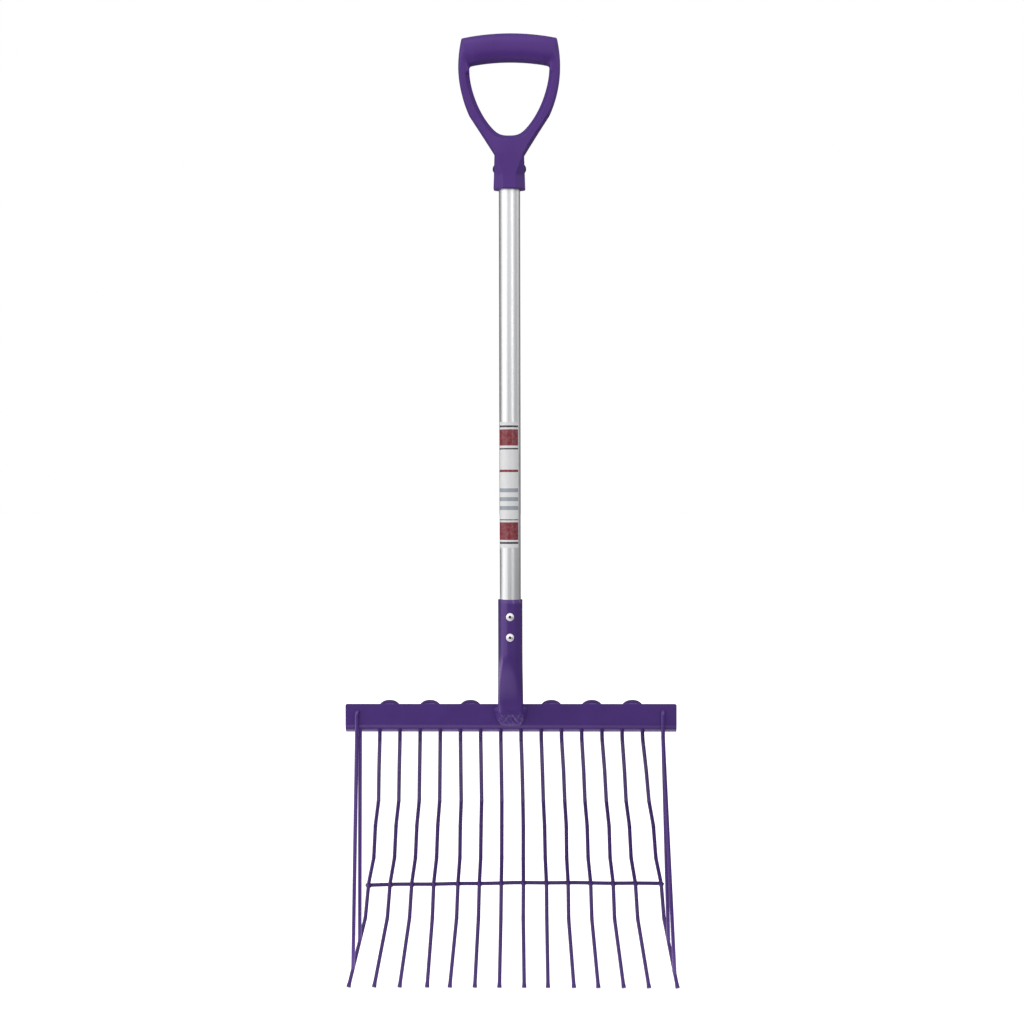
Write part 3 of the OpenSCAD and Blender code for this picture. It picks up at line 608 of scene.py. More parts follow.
def rivetProfile(stack):
    # radius and height from the bore over the dome, a circle, to the rim, then down the shank to the bulge
    s = rivetShape
    domeR = (s["head"] ** 2 + s["high"] ** 2) / (2 * s["high"])
    r = np.linspace(s["bore"] + s["lip"], s["head"] - s["rim"], 12)
    dome = np.stack([r, s["high"] - domeR + np.sqrt(domeR ** 2 - r ** 2)], -1)
    bore = [(s["bore"], s["high"] - 0.35), (s["bore"] + 0.08, s["high"] - 0.15)]
    rim = [(s["head"] - 0.08, 0.42), (s["head"], 0.25), (s["head"], 0.0), (s["head"] - 0.15, 0.0)]
    back, end = -stack, -stack - s["tail"]
    shank = [(s["shank"], 0.0), (s["shank"], back), (s["bulge"] - 0.5, back - 0.1), (s["bulge"], back - 1.2),
             (s["bulge"], end + 1.2), (s["shank"], end), (s["bore"], end)]
    return np.concatenate([bore, dome, rim, shank])


def rivet(stack, origin, out, up, hug=0.0):
    # profile carried round the rivet's axis; under the head it drops by r minus the root of r squared minus
    # x squared, to hug a tube of radius hug
    s = rivetShape
    profile = rivetProfile(stack)
    r, h = profile[:, :1], profile[:, 1:]
    across = r * np.cos(wholeTurn(s["sides"]))
    drop = 0 * across
    if hug:
        under = (h <= 0.3) & (h >= -0.01) & (r > s["shank"] + 0.1)
        drop = (hug - np.sqrt(hug ** 2 - across ** 2)) * under
    points = spun(profile, -drop, s["sides"], origin, out, up)
    return points, [gridFaces(len(profile), s["sides"], looped=True)]


def mandrel(origin, out, up):
    # broken rod in the rivet's bore, carried round its axis; its outer end is a shallow cone with three waves
    s = mandrelShape
    r, core, high, low = s["radius"], s["core"], rivetShape["high"] - s["recess"], -s["tail"]
    profile = np.array([(core, high), (1.0, high - 0.15), (r - 0.1, high - 0.5), (r, high - 0.7),
                        (r, low + 0.3), (r - 0.3, low), (core, low)])
    waves = s["rough"] * np.sin(3 * wholeTurn(s["sides"])) * (profile[:, 1:] > 0)
    ends = np.outer([high + 0.05, low], out) * mm + np.asarray(origin)
    points = np.concatenate([spun(profile, waves, s["sides"], origin, out, up), ends])
    return points, outward(points, cappedFaces(len(profile), s["sides"]))


frontMandrels, sideMandrels = [], []
for word in ("upper", "lower"):
    low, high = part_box(socketRivets[word])
    pose = (0, axisY - socketRadius, (low.z + high.z) / 2), (0, -1, 0), (0, 0, 1)
    makePiece(word + "SocketRivet", *rivet(socketRivets["stack"], *pose, socketRadius / mm),
              "rivet_aluminium", [socketRivets[word]], rivetFinish, sharp=50)
    frontMandrels.append(mandrel(*pose))
for word, sign in (("left", -1), ("right", 1)):
    g = gripRivets
    slope = (g["foot"] - g["neck"]) / g["neckZ"]  # the grip's socket narrows upwards
    lean = math.atan(slope)
    seat = (sign * (g["foot"] - slope * g["rise"]) * mm, axisY, gripLow.z + g["rise"] * mm)
    pose = seat, (sign * math.cos(lean), 0, math.sin(lean)), (-sign * math.sin(lean), 0, math.cos(lean))
    makePiece(word + "GripRivet", *rivet(g["stack"], *pose),
              "rivet_aluminium", [word + "_grip_rivet"], darkRivetFinish, sharp=50)
    sideMandrels.append(mandrel(*pose))
for word, parts in (("grip", sideMandrels), ("socket", frontMandrels)):
    makePiece(word + "Mandrels", *joined(parts), "mandrel_steel", [word + "_rivet_mandrels"],
              mandrelFinish, sharp=50)


# head socket: round tube pressed flat towards the crossbar

socketShape = dict(wall=2.0, taper=70.0, flat=8.0, flatHalf=16.7, flatThick=9.0, power=0.5, edge=0.5,
                   sides=96, rows=40)


def socketSection(share, inset):
    # circle at share nought, rounded box at share one: powers of cosine and sine, the back kept in line
    s = socketShape
    radius, share = socketRadius / mm, share[:, None]
    halfW = radius + (s["flatHalf"] - radius) * share - inset
    halfT = radius + (s["flatThick"] - radius) * share - inset
    middle = (radius - s["flatThick"]) * share
    power = 1 + (s["power"] - 1) * share
    a = wholeTurn(s["sides"])
    x, y = halfW * signedPower(np.cos(a), power), middle + halfT * signedPower(np.sin(a), power)
    return np.stack([x, y], -1)


def buildSocket():
    # outer wall from its rounded mouth to the foot and inner wall back again, as one closed ring of rows
    s = socketShape
    low, high = socketLow.z / mm, socketHigh.z / mm
    flatZ, taperZ = low + s["flat"], low + s["flat"] + s["taper"]
    heights = np.concatenate([
        [high, high - 0.15, high - s["edge"]], np.linspace(high - 6, taperZ, 8),
        np.linspace(taperZ, flatZ, s["rows"])[1:], np.linspace(flatZ, low, 8)[1:],
    ])
    share = smooth((taperZ - heights) / s["taper"])
    inset = np.zeros((len(heights), 1))
    inset[:2, 0] = s["edge"], 0.2
    flat = np.concatenate([socketSection(share, inset), socketSection(share[::-1], s["wall"])])
    z = np.concatenate([heights, heights[::-1]])[:, None, None] + 0 * flat[..., :1]
    points = np.concatenate([flat, z], -1).reshape(-1, 3) * mm + np.array([0, axisY, 0])
    return points, [gridFaces(len(flat), s["sides"], looped=True)]


makePiece("headSocket", *buildSocket(), "purple_coat", ["head_socket"], coatFinish, sharp=50)


# weld at the socket foot: a rippled apron with a lobed bead down each side

weldShape = dict(
    lobe=0.27, lobeFrom=0.36, lobeEven=0.6, sideFrom=0.30, sideRun=0.12, scallop=1.7, swell=1.6,
    swellPower=0.7, edge=5.4, footEdge=1.4, fall=1.05, edgePower=(6, 3), groove=0.9, grooveAt=0.70,
    grooveWide=0.07, ripple=0.15, endRun=0.05, sunk=0.2, back=0.3, across=46, along=281, blur=19,
    # stations from the middle to one end: share, inner x, inner drop, inner depth, outer x, outer drop
    run=[(0.0, 0, -2.5, 18.6, 0, 19.8), (0.26, 7.5, -2.5, 18.4, 12.2, 19.4),
         (0.36, 12.0, -2.5, 17.0, 16.0, 16.0), (0.50, 15.5, -2.8, 13.0, 19.3, 9.2),
         (0.64, 16.5, -3.5, 10.0, 21.2, 2.8), (0.80, 16.5, -6.0, 7.5, 22.0, -3.0),
         (1.0, 16.5, -10.0, 5.5, 20.2, -9.6)],
    # pits between the runs of the weld: x and drop of both ends, depth, half width
    pits=[(-2.4, 6.0, -6.8, 12.8, 1.0, 1.5), (2.6, 6.0, 6.6, 13.2, 1.0, 1.5),
          (-11.5, 5.0, -9.0, 9.5, 0.5, 1.0), (11.8, 4.5, 9.6, 9.5, 0.5, 1.0),
          (2.1, 18.4, 2.4, 19.6, 0.7, 0.9), (9.0, 18.0, 9.4, 19.4, 0.8, 1.0)],
)


def buildSocketWeld():
    # bead along u, across it t from socket to plate; depth falls by a power, lobes swell at the sides, and
    # each pit takes off a bell curve of the distance to its line
    s = weldShape
    u = np.linspace(-1, 1, s["along"])
    run = np.array(s["run"], float)
    spans = np.stack([np.interp(np.abs(u), run[:, 0], column) for column in run[:, 1:].T], -1)
    spans[:, [0, 3]] *= np.sign(u)[:, None]
    bell = np.hanning(s["blur"])[1:-1]
    innerX, innerDrop, innerDeep, outerX, outerDrop = runningMean(spans, bell / bell.sum()).T[..., None]
    u, t = u[:, None], np.linspace(0, 1, s["across"])[None]
    beside = smooth((np.abs(u) - s["sideFrom"]) / s["sideRun"])
    wave = beside * (np.abs(np.sin(math.pi * (np.abs(u) - s["lobeFrom"]) / s["lobe"])) - s["lobeEven"])
    reach = t * (1 + s["scallop"] * wave / np.hypot(outerX - innerX, outerDrop - innerDrop))
    x = innerX + (outerX - innerX) * reach
    drop = innerDrop + (outerDrop - innerDrop) * reach
    edge = s["footEdge"] + (s["edge"] - s["footEdge"]) * beside
    edgePower = s["edgePower"][0] - s["edgePower"][1] * beside
    depth = (innerDeep - edge) * (1 - t ** s["fall"]) + edge * np.sqrt(1 - t ** edgePower)
    depth = depth + s["swell"] * wave * np.sin(math.pi * t) ** s["swellPower"]
    depth = depth - s["groove"] * beside * np.exp(-((t - s["grooveAt"]) / s["grooveWide"]) ** 2)
    depth = depth + s["ripple"] * (np.sin(23 * u + 9 * t) + np.sin(41 * u - 13 * t)) * t * (1 - t) * 4
    for ax, ad, bx, bd, deep, wide in s["pits"]:
        share = ((x - ax) * (bx - ax) + (drop - ad) * (bd - ad)) / ((bx - ax) ** 2 + (bd - ad) ** 2)
        share = np.clip(share, 0, 1)
        off = np.hypot(x - ax - share * (bx - ax), drop - ad - share * (bd - ad))
        depth = depth - deep * np.exp(-(off / wide) ** 2)
    depth = np.maximum(depth, -s["sunk"]) * np.sqrt(np.clip((1 - np.abs(u)) / s["endRun"], 0, 1))
    z = socketLow.z / mm - drop
    front = np.stack([x, faceY - depth, z], -1)
    back = np.stack([x, faceY + s["back"] + 0 * x, z], -1)
    return thickPatch(front * mm, back * mm)


makePiece("socketWeld", *buildSocketWeld(), "purple_coat", ["socket_weld"], litWeldFinish, sharp=60)


# crossbar: bent plate with holes for the wires

barShape = dict(bend=12.0, corner=2.5, edge=0.45, firstCut=0.13, hole=2.75, pitch=26.8, holes=16,
                hookHole=2.65, hookX=(-202.3, 201.4), hookDrop=10.35, reach=3.0, behind=5.0, sharp=35)


def barProfile():
    # centre line of the plate in y and z: down the front flange, a quarter circle, back along the lower one
    bend, half = barShape["bend"], steel["plate"] / 2
    high, deep = topZ - footZ, (barHigh.y - barLow.y) / mm
    a = np.linspace(math.pi, 1.5 * math.pi, 14)
    front = np.stack([np.full(12, half), np.linspace(high, bend, 13)[:-1]], -1)
    quarter = np.stack([bend + (bend - half) * np.cos(a), bend + (bend - half) * np.sin(a)], -1)
    lower = np.stack([np.linspace(bend, deep, 9)[1:], np.full(8, half)], -1)
    return np.concatenate([front, quarter, lower])


def buildBar():
    # plate skin: the centre line offset to both sides along its normals, carried along x; long edges are
    # bevelled, ends and upper corners rounded by quarter circles, end faces are quads across the thickness
    s = barShape
    line = barProfile()
    way = np.gradient(line, axis=0)
    way /= np.linalg.norm(way, axis=1, keepdims=True)
    normal = np.stack([way[:, 1], -way[:, 0]], -1)
    half, edge = steel["plate"] / 2, s["edge"]
    outer, inner = line - normal * half, line + normal * half
    first = [outer[0] + normal[0] * edge, inner[0] - normal[0] * edge]
    last = [inner[-1] - normal[-1] * edge, outer[-1] + normal[-1] * edge]
    for skin in (outer, inner):
        skin[0] += way[0] * edge
        skin[-1] -= way[-1] * edge
    loop = np.concatenate([outer[::-1], first, inner, last])
    start, stop = line[0] + way[0] * edge, line[-1] - way[-1] * edge
    centre = np.concatenate([line[::-1], [start] * 2, line, [stop] * 2])

    width, high, corner = (barHigh.x - barLow.x) / 2 / mm, topZ - footZ, s["corner"]
    quarter = corner * (1 - np.sin(np.linspace(0, math.pi / 2, 9)))[-2:0:-1]
    ends = np.concatenate([[0, s["firstCut"]], quarter])
    inside = np.linspace(corner - width, width - corner, 165)
    x = np.sort(np.concatenate([ends - width, inside, width - ends]))
    near = np.clip(np.abs(x) - (width - corner), 0, corner)
    lower = corner - np.sqrt(corner ** 2 - near ** 2)
    shrink = np.clip(1 - (width - np.abs(x)) / edge, 0, 1)
    shrink = edge * (1 - np.sqrt(1 - shrink ** 2)) / half
    y, z = np.moveaxis(loop + (centre - loop) * shrink[:, None, None], -1, 0)
    z = z - lower[:, None] * np.clip((z - high / 2) / (high / 2), 0, 1)
    points = np.stack([x[:, None] + 0 * y, y + faceY, z + footZ], -1)

    # a row runs over the outer skin backwards, two rim points, the inner skin and two more rim points
    rows, cols = points.shape[:2]
    n, k = len(line), np.arange(len(line) - 1)
    caps = np.stack([n - 1 - k, n - 2 - k, n + 3 + k, n + 2 + k], -1)
    rims = np.array([[n + 2, n + 1, n, n - 1], [0, cols - 1, cols - 2, 2 * n + 1]])
    end = np.concatenate([caps, rims])
    return points.reshape(-1, 3) * mm, [gridFaces(rows, cols), end[:, ::-1], end + (rows - 1) * cols]


def boreTool(radius, low, high, centre, order=(0, 1, 2), sides=28):
    # cylinder that cuts a hole: rings of the radius at low and high, axes put in the given order
    a = wholeTurn(sides)
    ring = np.stack([radius * np.cos(a), radius * np.sin(a), 0 * a], -1)
    poles = np.array([[0, 0, low], [0, 0, high]])
    points = np.concatenate([ring + poles[0], ring + poles[1], poles])[:, order]
    points = (points + np.array(centre)) * mm
    return points, outward(points, cappedFaces(2, sides))


def drillBar():
    # the plate less a bore for every wire along its bend and one for each hook
    s = barShape
    bores = []
    for k in range(s["holes"]):
        x = (k - (s["holes"] - 1) / 2) * s["pitch"]
        bores.append(boreTool(s["hole"], footZ - s["reach"], footZ + s["bend"], (x, legY, 0)))
    for x in s["hookX"]:
        hook = (x, 0, topZ - s["hookDrop"])
        bores.append(boreTool(s["hookHole"], faceY - s["reach"], faceY + s["behind"], hook, (0, 2, 1)))
    cutter = newObject("boreTools", *joined(bores))
    plate = makePiece("crossbarPlate", *buildBar(), "purple_coat", ["crossbar"], coatFinish, sharp=s["sharp"])
    cut = plate.modifiers.new("holes", "BOOLEAN")
    cut.object = cutter
    cut.operation = "DIFFERENCE"
    cut.solver = "EXACT"
    bpy.context.view_layer.update()
    result = bpy.data.meshes.new_from_object(plate.evaluated_get(bpy.context.evaluated_depsgraph_get()))
    plate.modifiers.clear()
    plate.data = result
    shadeSmooth(result, s["sharp"])
    bpy.data.objects.remove(cutter)
    print("crossbar drilled", len(result.vertices), "points")


drillBar()


# bent wires

wireShape = dict(sides=22, loopPower=0.87)  # the loops are a little squarer than a circle


def bentPath(corners, radius, count=24):
    # straight runs with a round bend of the given radius at every inner corner
    corners = np.asarray(corners, float)
    pieces = [corners[:1]]
    for before, here, after in zip(corners[:-2], corners[1:-1], corners[2:]):
        u = (here - before) / np.linalg.norm(here - before)
        v = (after - here) / np.linalg.norm(after - here)
        turn = math.acos(min(1, float(u @ v)))
        if turn < 1e-4:
            continue
        inward = v - u * (u @ v)
        inward /= np.linalg.norm(inward)
        centre = here - u * radius * math.tan(turn / 2) + inward * radius
        a = np.linspace(0, turn, count)[:, None]
        pieces.append(centre + radius * (u * np.sin(a) - inward * np.cos(a)))
    return np.concatenate(pieces + [corners[-1:]])


def halfTurn(a, b, count=40):
    # half loop that leaves a upwards and comes down at b: powers of cosine across and of sine upwards
    across, power = (b - a) / 2, wireShape["loopPower"]
    rise = np.array([0, 0, np.linalg.norm(across)])
    t = np.linspace(0, math.pi, count)[1:-1, None]
    return (a + b) / 2 - across * signedPower(np.cos(t), power) + rise * signedPower(np.sin(t), power)


def hairpinPath(a, b, bend):
    # up the first leg, over a half turn and down the second
    return np.concatenate([bentPath(a, bend)[::-1], halfTurn(a[0], b[0]), bentPath(b, bend)])


def wireStations(length, step, roundEnd):
    # even steps with extra stations inside the rounded ends
    ends = roundEnd * (1 - np.cos(np.linspace(0, math.pi / 2, 6)))
    middle = np.arange(roundEnd + step, length - roundEnd - step / 2, step)
    return np.concatenate([ends, middle, (length - ends)[::-1]])


def endRound(places, length, roundEnd, depth):
    # how much the radius shrinks in a rounded end: depth times one minus a quarter circle
    near = np.minimum(places, length - places) / roundEnd
    return depth * (1 - np.sqrt(np.clip(1 - (1 - np.clip(near, 0, 1)) ** 2, 0, 1)))


def tube(path, radius, upright):
    # rings of the given radius square to the path, closed at both ends by a pole
    sides, upright = wireShape["sides"], np.asarray(upright, float)
    way = np.gradient(path, axis=0)
    way /= np.linalg.norm(way, axis=1, keepdims=True)
    out = upright - way * (way @ upright)[:, None]
    out /= np.linalg.norm(out, axis=1, keepdims=True)
    side = np.cross(way, out)
    angle = wholeTurn(sides)[:, None]
    ring = out[:, None] * np.cos(angle) + side[:, None] * np.sin(angle)
    points = (path[:, None] + radius.reshape(len(path), -1, 1) * ring).reshape(-1, 3)
    return np.concatenate([points, path[:1], path[-1:]]) * mm, cappedFaces(len(path), sides)


# tines: seven hairpins of round wire, bent in the same seven places

tineShape = dict(
    count=14, pitch=26.8, loopRise=4.8, bend=22.0, step=1.4,
    drop=(6, 50, 45, 36, 45, 35, 46, 86), slope=(0, 40, 35, 23, 8, -2, -13, -25),
    fan=(0, 0.9, 1.5, 2.4, 2.8, 3.8, 4.2, 6.7), flare=4.0,
    tipRadius=3.2, tipLength=10.0, tipPower=1.5, tipEdge=0.7, tipRound=0.6,
    # each tine's own sideways bends: at its tip, half way down and nearer the tip
    drift=(0.8, -2.2, -1.2, 2.4, -0.5, -0.2, -0.5, -0.5, -2.0, -0.5, -1.2, -0.5, 0, 0.8),
    bow=(2.7, 2.0, 1.6, 1.2, 1.6, 1.3, 0, 0.8, -0.7, 1.3, -0.5, 0.7, -1.9, 0.9),
    lowBow=(0, -1.0, -2.0, -3.6, 0, -1.2, -0.4, -1.5, 1.6, -2.0, 0.3, -1.0, 1.1, 1.2),
    # flats that the bending tool left: bends that show them, half length, depth, bulge beside them
    marks=(2, 3, 4, 6), markLong=3.0, markDeep=0.32, markBulge=0.35,
)
loopZ = topZ + tineShape["loopRise"] - wireR - tineShape["pitch"] / 2  # where the legs turn into the loops


def tineCorners(k):
    # corner points of tine k: drops and backward slopes summed, spacing widened by the fan, then its own
    # bends, a square and two sine waves of the share of the way down
    s = tineShape
    drop, slope = np.array(s["drop"], float), np.radians(s["slope"])
    fall, back = np.cumsum(drop), np.cumsum(drop * np.tan(slope))
    off = k - (s["count"] - 1) / 2
    x = off * (s["pitch"] + np.array(s["fan"]))
    share = fall / fall[-1]
    if k in (0, s["count"] - 1):
        x = x + math.copysign(s["flare"], off) * share ** 2
    x = x + s["drift"][k] * share ** 2 + s["bow"][k] * np.sin(math.pi * share)
    x = x + s["lowBow"][k] * np.sin(math.pi * share ** 2)
    return np.concatenate([[[off * s["pitch"], legY, loopZ]], np.stack([x, legY + back, footZ - fall], -1)])


def buildHairpin(n):
    # left tine upwards, half turn, right tine downwards; the radius swells at the tips, and dips at the marks
    # on the hollow side by a bell curve along the wire
    s = tineShape
    left, right = tineCorners(2 * n - 2), tineCorners(2 * n - 1)
    path = hairpinPath(left, right, s["bend"])
    length = alongPath(path)[-1]
    places = wireStations(length, s["step"], s["tipEdge"])
    line = resample(path, places)
    fromTip = np.minimum(places, length - places)
    swell = smooth((s["tipLength"] - fromTip) / s["tipLength"]) ** s["tipPower"]
    shrink = endRound(places, length, s["tipEdge"], s["tipRound"])
    radius = coatedR + (s["tipRadius"] - coatedR) * swell - shrink
    angle = wholeTurn(wireShape["sides"])
    dent = np.clip(-np.cos(angle), 0, 1) ** 3 - s["markBulge"] * np.abs(np.sin(angle)) ** 6
    around = radius[:, None] + 0 * angle
    for corners in (left, right):
        for mark in s["marks"]:
            near = np.exp(-(np.linalg.norm(line - corners[mark + 1], axis=1) / s["markLong"]) ** 4)
            around = around - s["markDeep"] * near[:, None] * dent
    return tube(line, around, (0, 1, 0))


for n in range(1, 8):
    makePiece(f"hairpin{n}", *buildHairpin(n), "purple_coat", [f"tine_pair_{n}"], shadedWireFinish, sharp=60)


# side guards: one wire each, hooked through the plate

guardShape = dict(
    # side, tine that it meets, place of the inner leg, how far outside it the outer leg stands and ends
    left=dict(sign=-1, tine=0, x=200.4, skew=3.8, outerZ=26.0),
    right=dict(sign=1, tine=13, x=201.6, skew=-0.4, outerZ=21.0),
    hookDrop=10.0, innerZ=60.0, bend=22.0, step=1.6, endEdge=0.8, endRound=0.7,
)


def tipRunPoint(k, z):
    # point of a tine's last run at height z
    a, b = tineCorners(k)[-2:]
    return a + (b - a) * (a[2] - z) / (a[2] - b[2])


def guardLegs(word):
    # corner points of the outer and inner leg; both end on the hollow side of the outer tine, one wire away
    s, own = guardShape, guardShape[word]
    frontY = faceY - steel["gap"] - wireR
    turnZ = topZ - s["hookDrop"] - math.hypot(own["skew"], legY - frontY) / 2
    kneeZ = footZ - tineShape["drop"][0]
    lean = math.radians(tineShape["slope"][-1])
    seat = 2 * wireR * np.array([0, -math.cos(lean), -math.sin(lean)])
    legs = []
    for x, y, endZ in ((own["x"] + own["skew"], frontY, own["outerZ"]), (own["x"], legY, s["innerZ"])):
        x = own["sign"] * x
        legs.append(np.array([(x, y, turnZ), (x, y, kneeZ), tipRunPoint(own["tine"], endZ) + seat]))
    return legs


def buildGuard(word):
    # outer leg upwards, half turn through the plate, inner leg downwards
    s = guardShape
    outer, inner = guardLegs(word)
    path = hairpinPath(outer, inner, s["bend"])
    length = alongPath(path)[-1]
    places = wireStations(length, s["step"], s["endEdge"])
    radius = coatedR - endRound(places, length, s["endEdge"], s["endRound"])
    return tube(resample(path, places), radius, (1, 0, 0))


for word in ("left", "right"):
    makePiece(word + "Guard", *buildGuard(word), "purple_coat", [word + "_guard"], litGuardFinish, sharp=60)


# cross wire

crossShape = dict(
    sag=3.7, sagRun=200.0, sagPower=1.2, trim=3.5, step=2.0, endEdge=1.2, endRound=1.1,
    waves=[(0.3, 37.0, 0), (0.2, 13.0, 1)],  # height, length over one radian, start
)


def wireSag(x):
    # the left end hangs low by a power of the distance, and the whole wire waves slightly
    s = crossShape
    waves = sum(high * np.sin(x / run + start) for high, run, start in s["waves"])
    return waves - s["sag"] * np.clip(-x / s["sagRun"], 0, 1) ** s["sagPower"]


def buildCrossWire():
    # straight wire with rounded ends and a slight wave; both ends stop near the outer tines
    s = crossShape
    y, z = (wireLow.y + wireHigh.y) / 2 / mm, (wireLow.z + wireHigh.z) / 2 / mm
    length = (wireHigh.x - wireLow.x) / mm - 2 * s["trim"]
    places = wireStations(length, s["step"], s["endEdge"])
    x = wireLow.x / mm + s["trim"] + places
    line = np.stack([x, y + 0 * x, z + wireSag(x)], -1)
    return tube(line, coatedR - endRound(places, length, s["endEdge"], s["endRound"]), (0, 0, 1))


makePiece("crossWire", *buildCrossWire(), "purple_coat", ["cross_wire"], shadedWireFinish, sharp=60)


# spots and beads of weld: half sizes, roughness, and where each kind sits

spotShape = dict(
    cross=(4.0, 2.2, 3.1), crossRough=0.22, crossRun=5, crossDrop=0.4,
    guard=(2.9, 2.6, 5.2), guardRough=0.2, guardDrop=1.9, guardBack=1.0,
    leg=(1.6, 1.7, 6.0), legRough=0.3, legSide=2.0, legDrop=6.0,
    edge=(8.6, 2.0, 1.9), edgeRough=0.35, edgeBehind=2.6, edgeDrop=0.2, edgeCols=40, loops=7,
)


def lump(centre, size, seed, rough, axes=np.eye(3), rows=14, cols=22):
    # a sphere stretched to size along the axes, its radius rippled by three sine waves
    lat = np.linspace(0, math.pi, rows + 2)[1:-1, None]
    lon = wholeTurn(cols)[None]
    ripple = np.sin(3 * lon + seed) * np.sin(2 * lat + 2 * seed)
    ripple = ripple + 0.6 * np.sin(5 * lon + 4 * lat + 3 * seed) + 0.4 * np.sin(7 * lat - 2 * lon + seed)
    scale = 1 + rough * ripple * np.sin(lat) / 2
    unit = np.stack([np.sin(lat) * np.cos(lon), np.sin(lat) * np.sin(lon), np.cos(lat) + 0 * lon], -1)
    points = np.concatenate([(unit * scale[..., None]).reshape(-1, 3), [[0, 0, 1], [0, 0, -1]]])
    points = (points * np.asarray(size) @ axes + np.asarray(centre)) * mm
    return points, outward(points, cappedFaces(rows, cols))


def buildCrossSpots():
    # one lump behind every tine, where the cross wire touches it
    s = spotShape
    parts = []
    for k in range(tineShape["count"]):
        x, y, z = tineCorners(k)[s["crossRun"] + 1]
        middle = (x, y + wireR, z - s["crossDrop"] + wireSag(x))
        parts.append(lump(middle, s["cross"], 1.7 * k, s["crossRough"]))
    return joined(parts)


def buildGuardSpots(word):
    # one lump for each leg, half way between the leg's end and the tine and long along the tine
    s, own = spotShape, guardShape[word]
    before, tip = tineCorners(own["tine"])[-2:]
    way = (tip - before) / np.linalg.norm(tip - before)
    across = np.cross(way, [0, 1, 0])
    across /= np.linalg.norm(across)
    axes = np.stack([across, np.cross(way, across), way])
    parts = []
    for n, leg in enumerate(guardLegs(word)):
        end = leg[-1]
        seat = (end + tipRunPoint(own["tine"], end[2] - s["guardDrop"])) / 2
        parts.append(lump(seat - way * s["guardBack"], s["guard"], n + own["sign"], s["guardRough"], axes))
    return joined(parts)


def buildPlateBeads():
    # a long lump on both sides of every leg behind the plate, a flat one under each loop on the upper edge
    s = spotShape
    parts = []
    for k in range(tineShape["count"]):
        x = (k - (tineShape["count"] - 1) / 2) * tineShape["pitch"]
        for side in (-1, 1):
            middle = (x + side * s["legSide"], faceY + steel["plate"] + steel["gap"], loopZ - s["legDrop"])
            parts.append(lump(middle, s["leg"], k + 2 * side, s["legRough"]))
    for n in range(s["loops"]):
        x = (2 * n - s["loops"] + 1) * tineShape["pitch"]
        middle = (x, faceY + s["edgeBehind"], topZ - s["edgeDrop"])
        parts.append(lump(middle, s["edge"], 2.3 * n, s["edgeRough"], cols=s["edgeCols"]))
    return joined(parts)


makePiece("crossWireSpots", *buildCrossSpots(), "purple_coat", ["cross_wire_welds"], shadedWireFinish, sharp=80)
for word in ("left", "right"):
    makePiece(word + "GuardSpots", *buildGuardSpots(word), "purple_coat", [word + "_guard_welds"],
              litGuardFinish, sharp=80)
makePiece("plateBeads", *buildPlateBeads(), "purple_coat", ["tine_welds"], coatFinish, sharp=80)


# floor, light and camera, in metres

studio = dict(
    floor=60.0, paleFloor=(0.90, 0.93), roughFloor=0.9, floorSeen=0.8, unseen=0.25,
    front=0.86, back=0.05, low=0.55, high=1.25, lowAt=-0.12, highAt=0.20, seen=1.0,
    glow=1.25, glowAt=(-0.45, 0.0, 0), glowFull=0.68, glowEnd=1.1, glowFrom=-2.0, glowTo=1.0,
    # glow by the share of the way from glowFrom to glowTo in y: floor in front, dark gap, under the fork
    steps=[(0.22, 0.0), (0.32, 0.6), (0.572, 0.6), (0.592, 0.12), (0.640, 0.12), (0.655, 1.0), (0.77, 1.0),
           (0.84, 0.0)],
)
softboxes = dict(
    # place, target, width and height, power
    leftSoftbox=((-1.6, -0.9, 1.05), (0, 0, 0.85), (2.4, 1.8), 11.5),
    lowSoftbox=((-1.3, 0.3, 0.14), (0, 0, 0.14), (1.6, 0.26), 3.0),
    rightSoftbox=((1.1, -1.9, 1.4), (0, 0, 0.9), (0.5, 1.6), 4.4),
    farSoftbox=((1.7, 0.35, 1.4), (0, 0, 1.1), (0.8, 1.6), 2.2),
    topSoftbox=((-0.6, -1.2, 3.0), (0, 0, 0.9), (1.6, 1.6), 7),
)
lens = dict(distance=2.987, side=0.0736, height=0.6713, yaw=1.363, pitch=-0.549, roll=-0.112,
            focal=2270.7, frame=1024, sensor=36)


def grey(level):
    # colour of one level
    return (level, level, level)


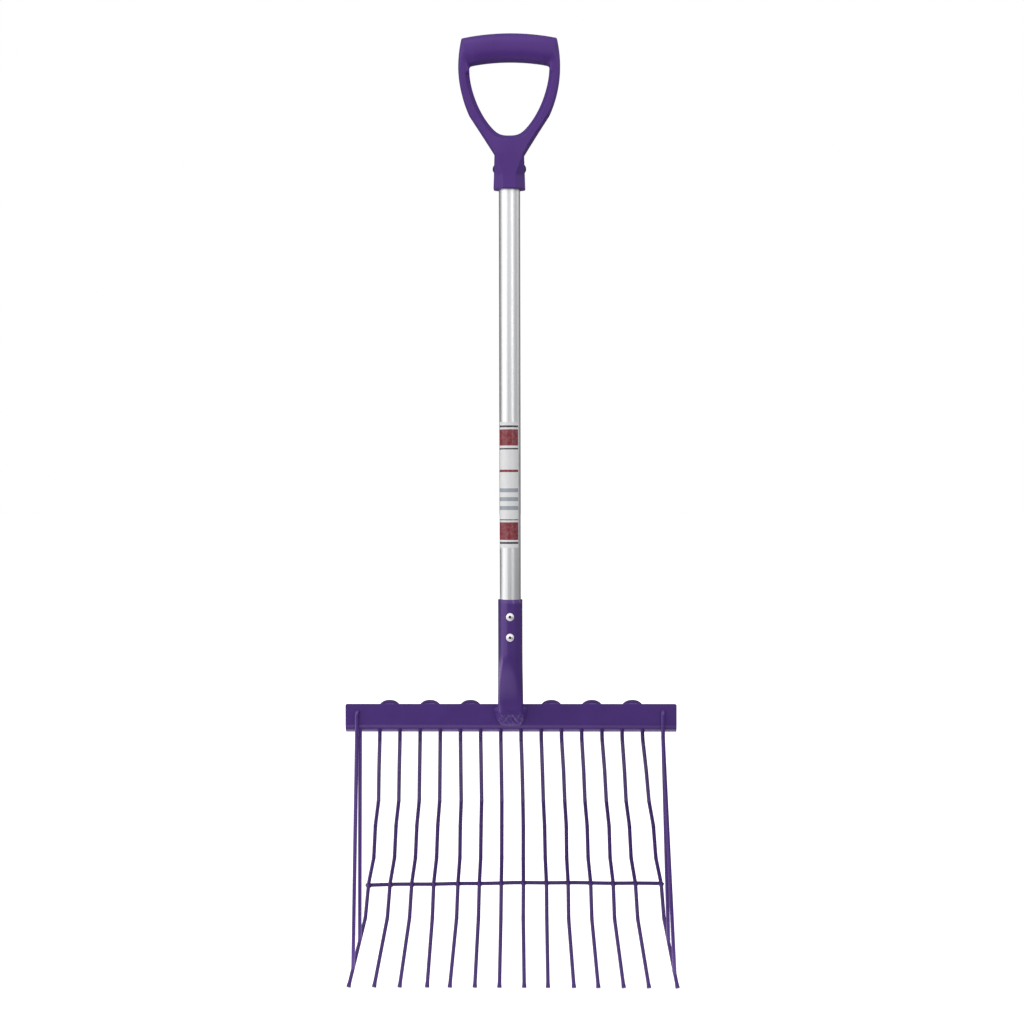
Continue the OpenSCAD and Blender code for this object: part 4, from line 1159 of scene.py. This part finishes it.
def buildFloor():
    # seen as plain white; to other rays the floor is dim and glows in steps of y times a fade with distance
    s = studio
    corners = s["floor"] * np.array([(-1, -1, 0), (1, -1, 0), (1, 1, 0), (-1, 1, 0)])
    floor = newObject("studioFloor", corners, [np.arange(4)[None]])
    material, tree, shader = newMaterial("paleFloor")
    seen = addNode(tree, "LightPath", {}).outputs["Is Camera Ray"]
    where = addNode(tree, "TexCoord", {}).outputs["Object"]
    pale = addRamp(tree, addNoise(tree, 0.8, 2), list(zip((0.3, 0.7), map(grey, s["paleFloor"]))))
    base = addNode(tree, "Mix", {"Factor": seen, "A": (*grey(s["unseen"]), 1), "B": pale}, data_type="RGBA")
    y = addNode(tree, "SeparateXYZ", {"Vector": where}).outputs["Y"]
    run = addNode(tree, "MapRange", {"Value": y, "From Min": s["glowFrom"], "From Max": s["glowTo"]})
    steps = addRamp(tree, run.outputs["Result"], [(share, grey(glow)) for share, glow in s["steps"]])
    away = addNode(tree, "VectorMath", {0: where, 1: s["glowAt"]}, operation="DISTANCE").outputs["Value"]
    fade = addNode(tree, "MapRange", {"Value": away, "From Min": s["glowEnd"], "From Max": s["glowFull"],
                                      "To Max": s["glow"]})
    glow = addNode(tree, "Math", {0: fade.outputs["Result"], 1: steps}, operation="MULTIPLY").outputs["Value"]
    shown = addNode(tree, "Mix", {"Factor": seen, "A": glow, "B": s["floorSeen"]})
    setInputs(tree, shader, {
        "Base Color": base.outputs["Result"], "Roughness": s["roughFloor"],
        "Emission Color": (1, 1, 1, 1), "Emission Strength": shown.outputs["Result"],
    })
    floor.data.materials.append(material)


def buildWorld():
    # room light falls from front to back with the direction's y and rises with its z, and is plain white
    # where it is seen directly
    s = studio
    world = bpy.data.worlds.new("studioRoom")
    bpy.context.scene.world = world
    world.use_nodes = True
    tree = world.node_tree
    way = addNode(tree, "TexCoord", {}).outputs["Generated"]
    split = addNode(tree, "SeparateXYZ", {"Vector": way})
    fall = addNode(tree, "MapRange", {"Value": split.outputs["Y"], "From Min": -1, "To Min": s["front"],
                                      "To Max": s["back"]})
    lift = addNode(tree, "MapRange", {"Value": split.outputs["Z"], "From Min": s["lowAt"],
                                      "From Max": s["highAt"], "To Min": s["low"], "To Max": s["high"]})
    both = addNode(tree, "Math", {0: fall.outputs["Result"], 1: lift.outputs["Result"]}, operation="MULTIPLY")
    seen = addNode(tree, "LightPath", {}).outputs["Is Camera Ray"]
    shown = addNode(tree, "Mix", {"Factor": seen, "A": both.outputs["Value"], "B": s["seen"]})
    setInputs(tree, tree.nodes["Background"], {"Color": (1, 1, 1, 1), "Strength": shown.outputs["Result"]})


def addSoftbox(name, place, target, size, power):
    # rectangular light at a place, turned to its target and unseen by the camera
    light = bpy.data.lights.new(name, "AREA")
    light.shape = "RECTANGLE"
    light.size, light.size_y = size
    light.energy = power
    box = bpy.data.objects.new(name, light)
    box.location = place
    box.visible_camera = False
    box.rotation_euler = (Vector(target) - Vector(place)).to_track_quat("-Z", "Y").to_euler()
    bpy.context.collection.objects.link(box)


def buildCamera():
    # level camera turned by yaw, pitch and roll; the focal length is in pixels of the frame
    s = lens
    yaw, pitch, roll = (math.radians(s[key]) for key in ("yaw", "pitch", "roll"))
    ahead = Vector((-math.sin(yaw) * math.cos(pitch), math.cos(yaw) * math.cos(pitch), math.sin(pitch)))
    right = Vector((math.cos(yaw), math.sin(yaw), 0))
    up = right.cross(ahead)
    right, up = (right * math.cos(roll) + up * math.sin(roll), up * math.cos(roll) - right * math.sin(roll))
    turn = Matrix((right, up, -ahead)).transposed().to_4x4()
    data = bpy.data.cameras.new("photoCamera")
    data.sensor_width = s["sensor"]
    data.lens = s["sensor"] * s["focal"] / s["frame"]
    camera = bpy.data.objects.new("photoCamera", data)
    camera.matrix_world = Matrix.Translation((s["side"], axisY - s["distance"], s["height"])) @ turn
    bpy.context.collection.objects.link(camera)
    bpy.context.scene.camera = camera


buildFloor()
buildWorld()
for name, setting in softboxes.items():
    addSoftbox(name, *setting)
bpy.context.scene.view_settings.view_transform = "Standard"
buildCamera()
print("studio ready")
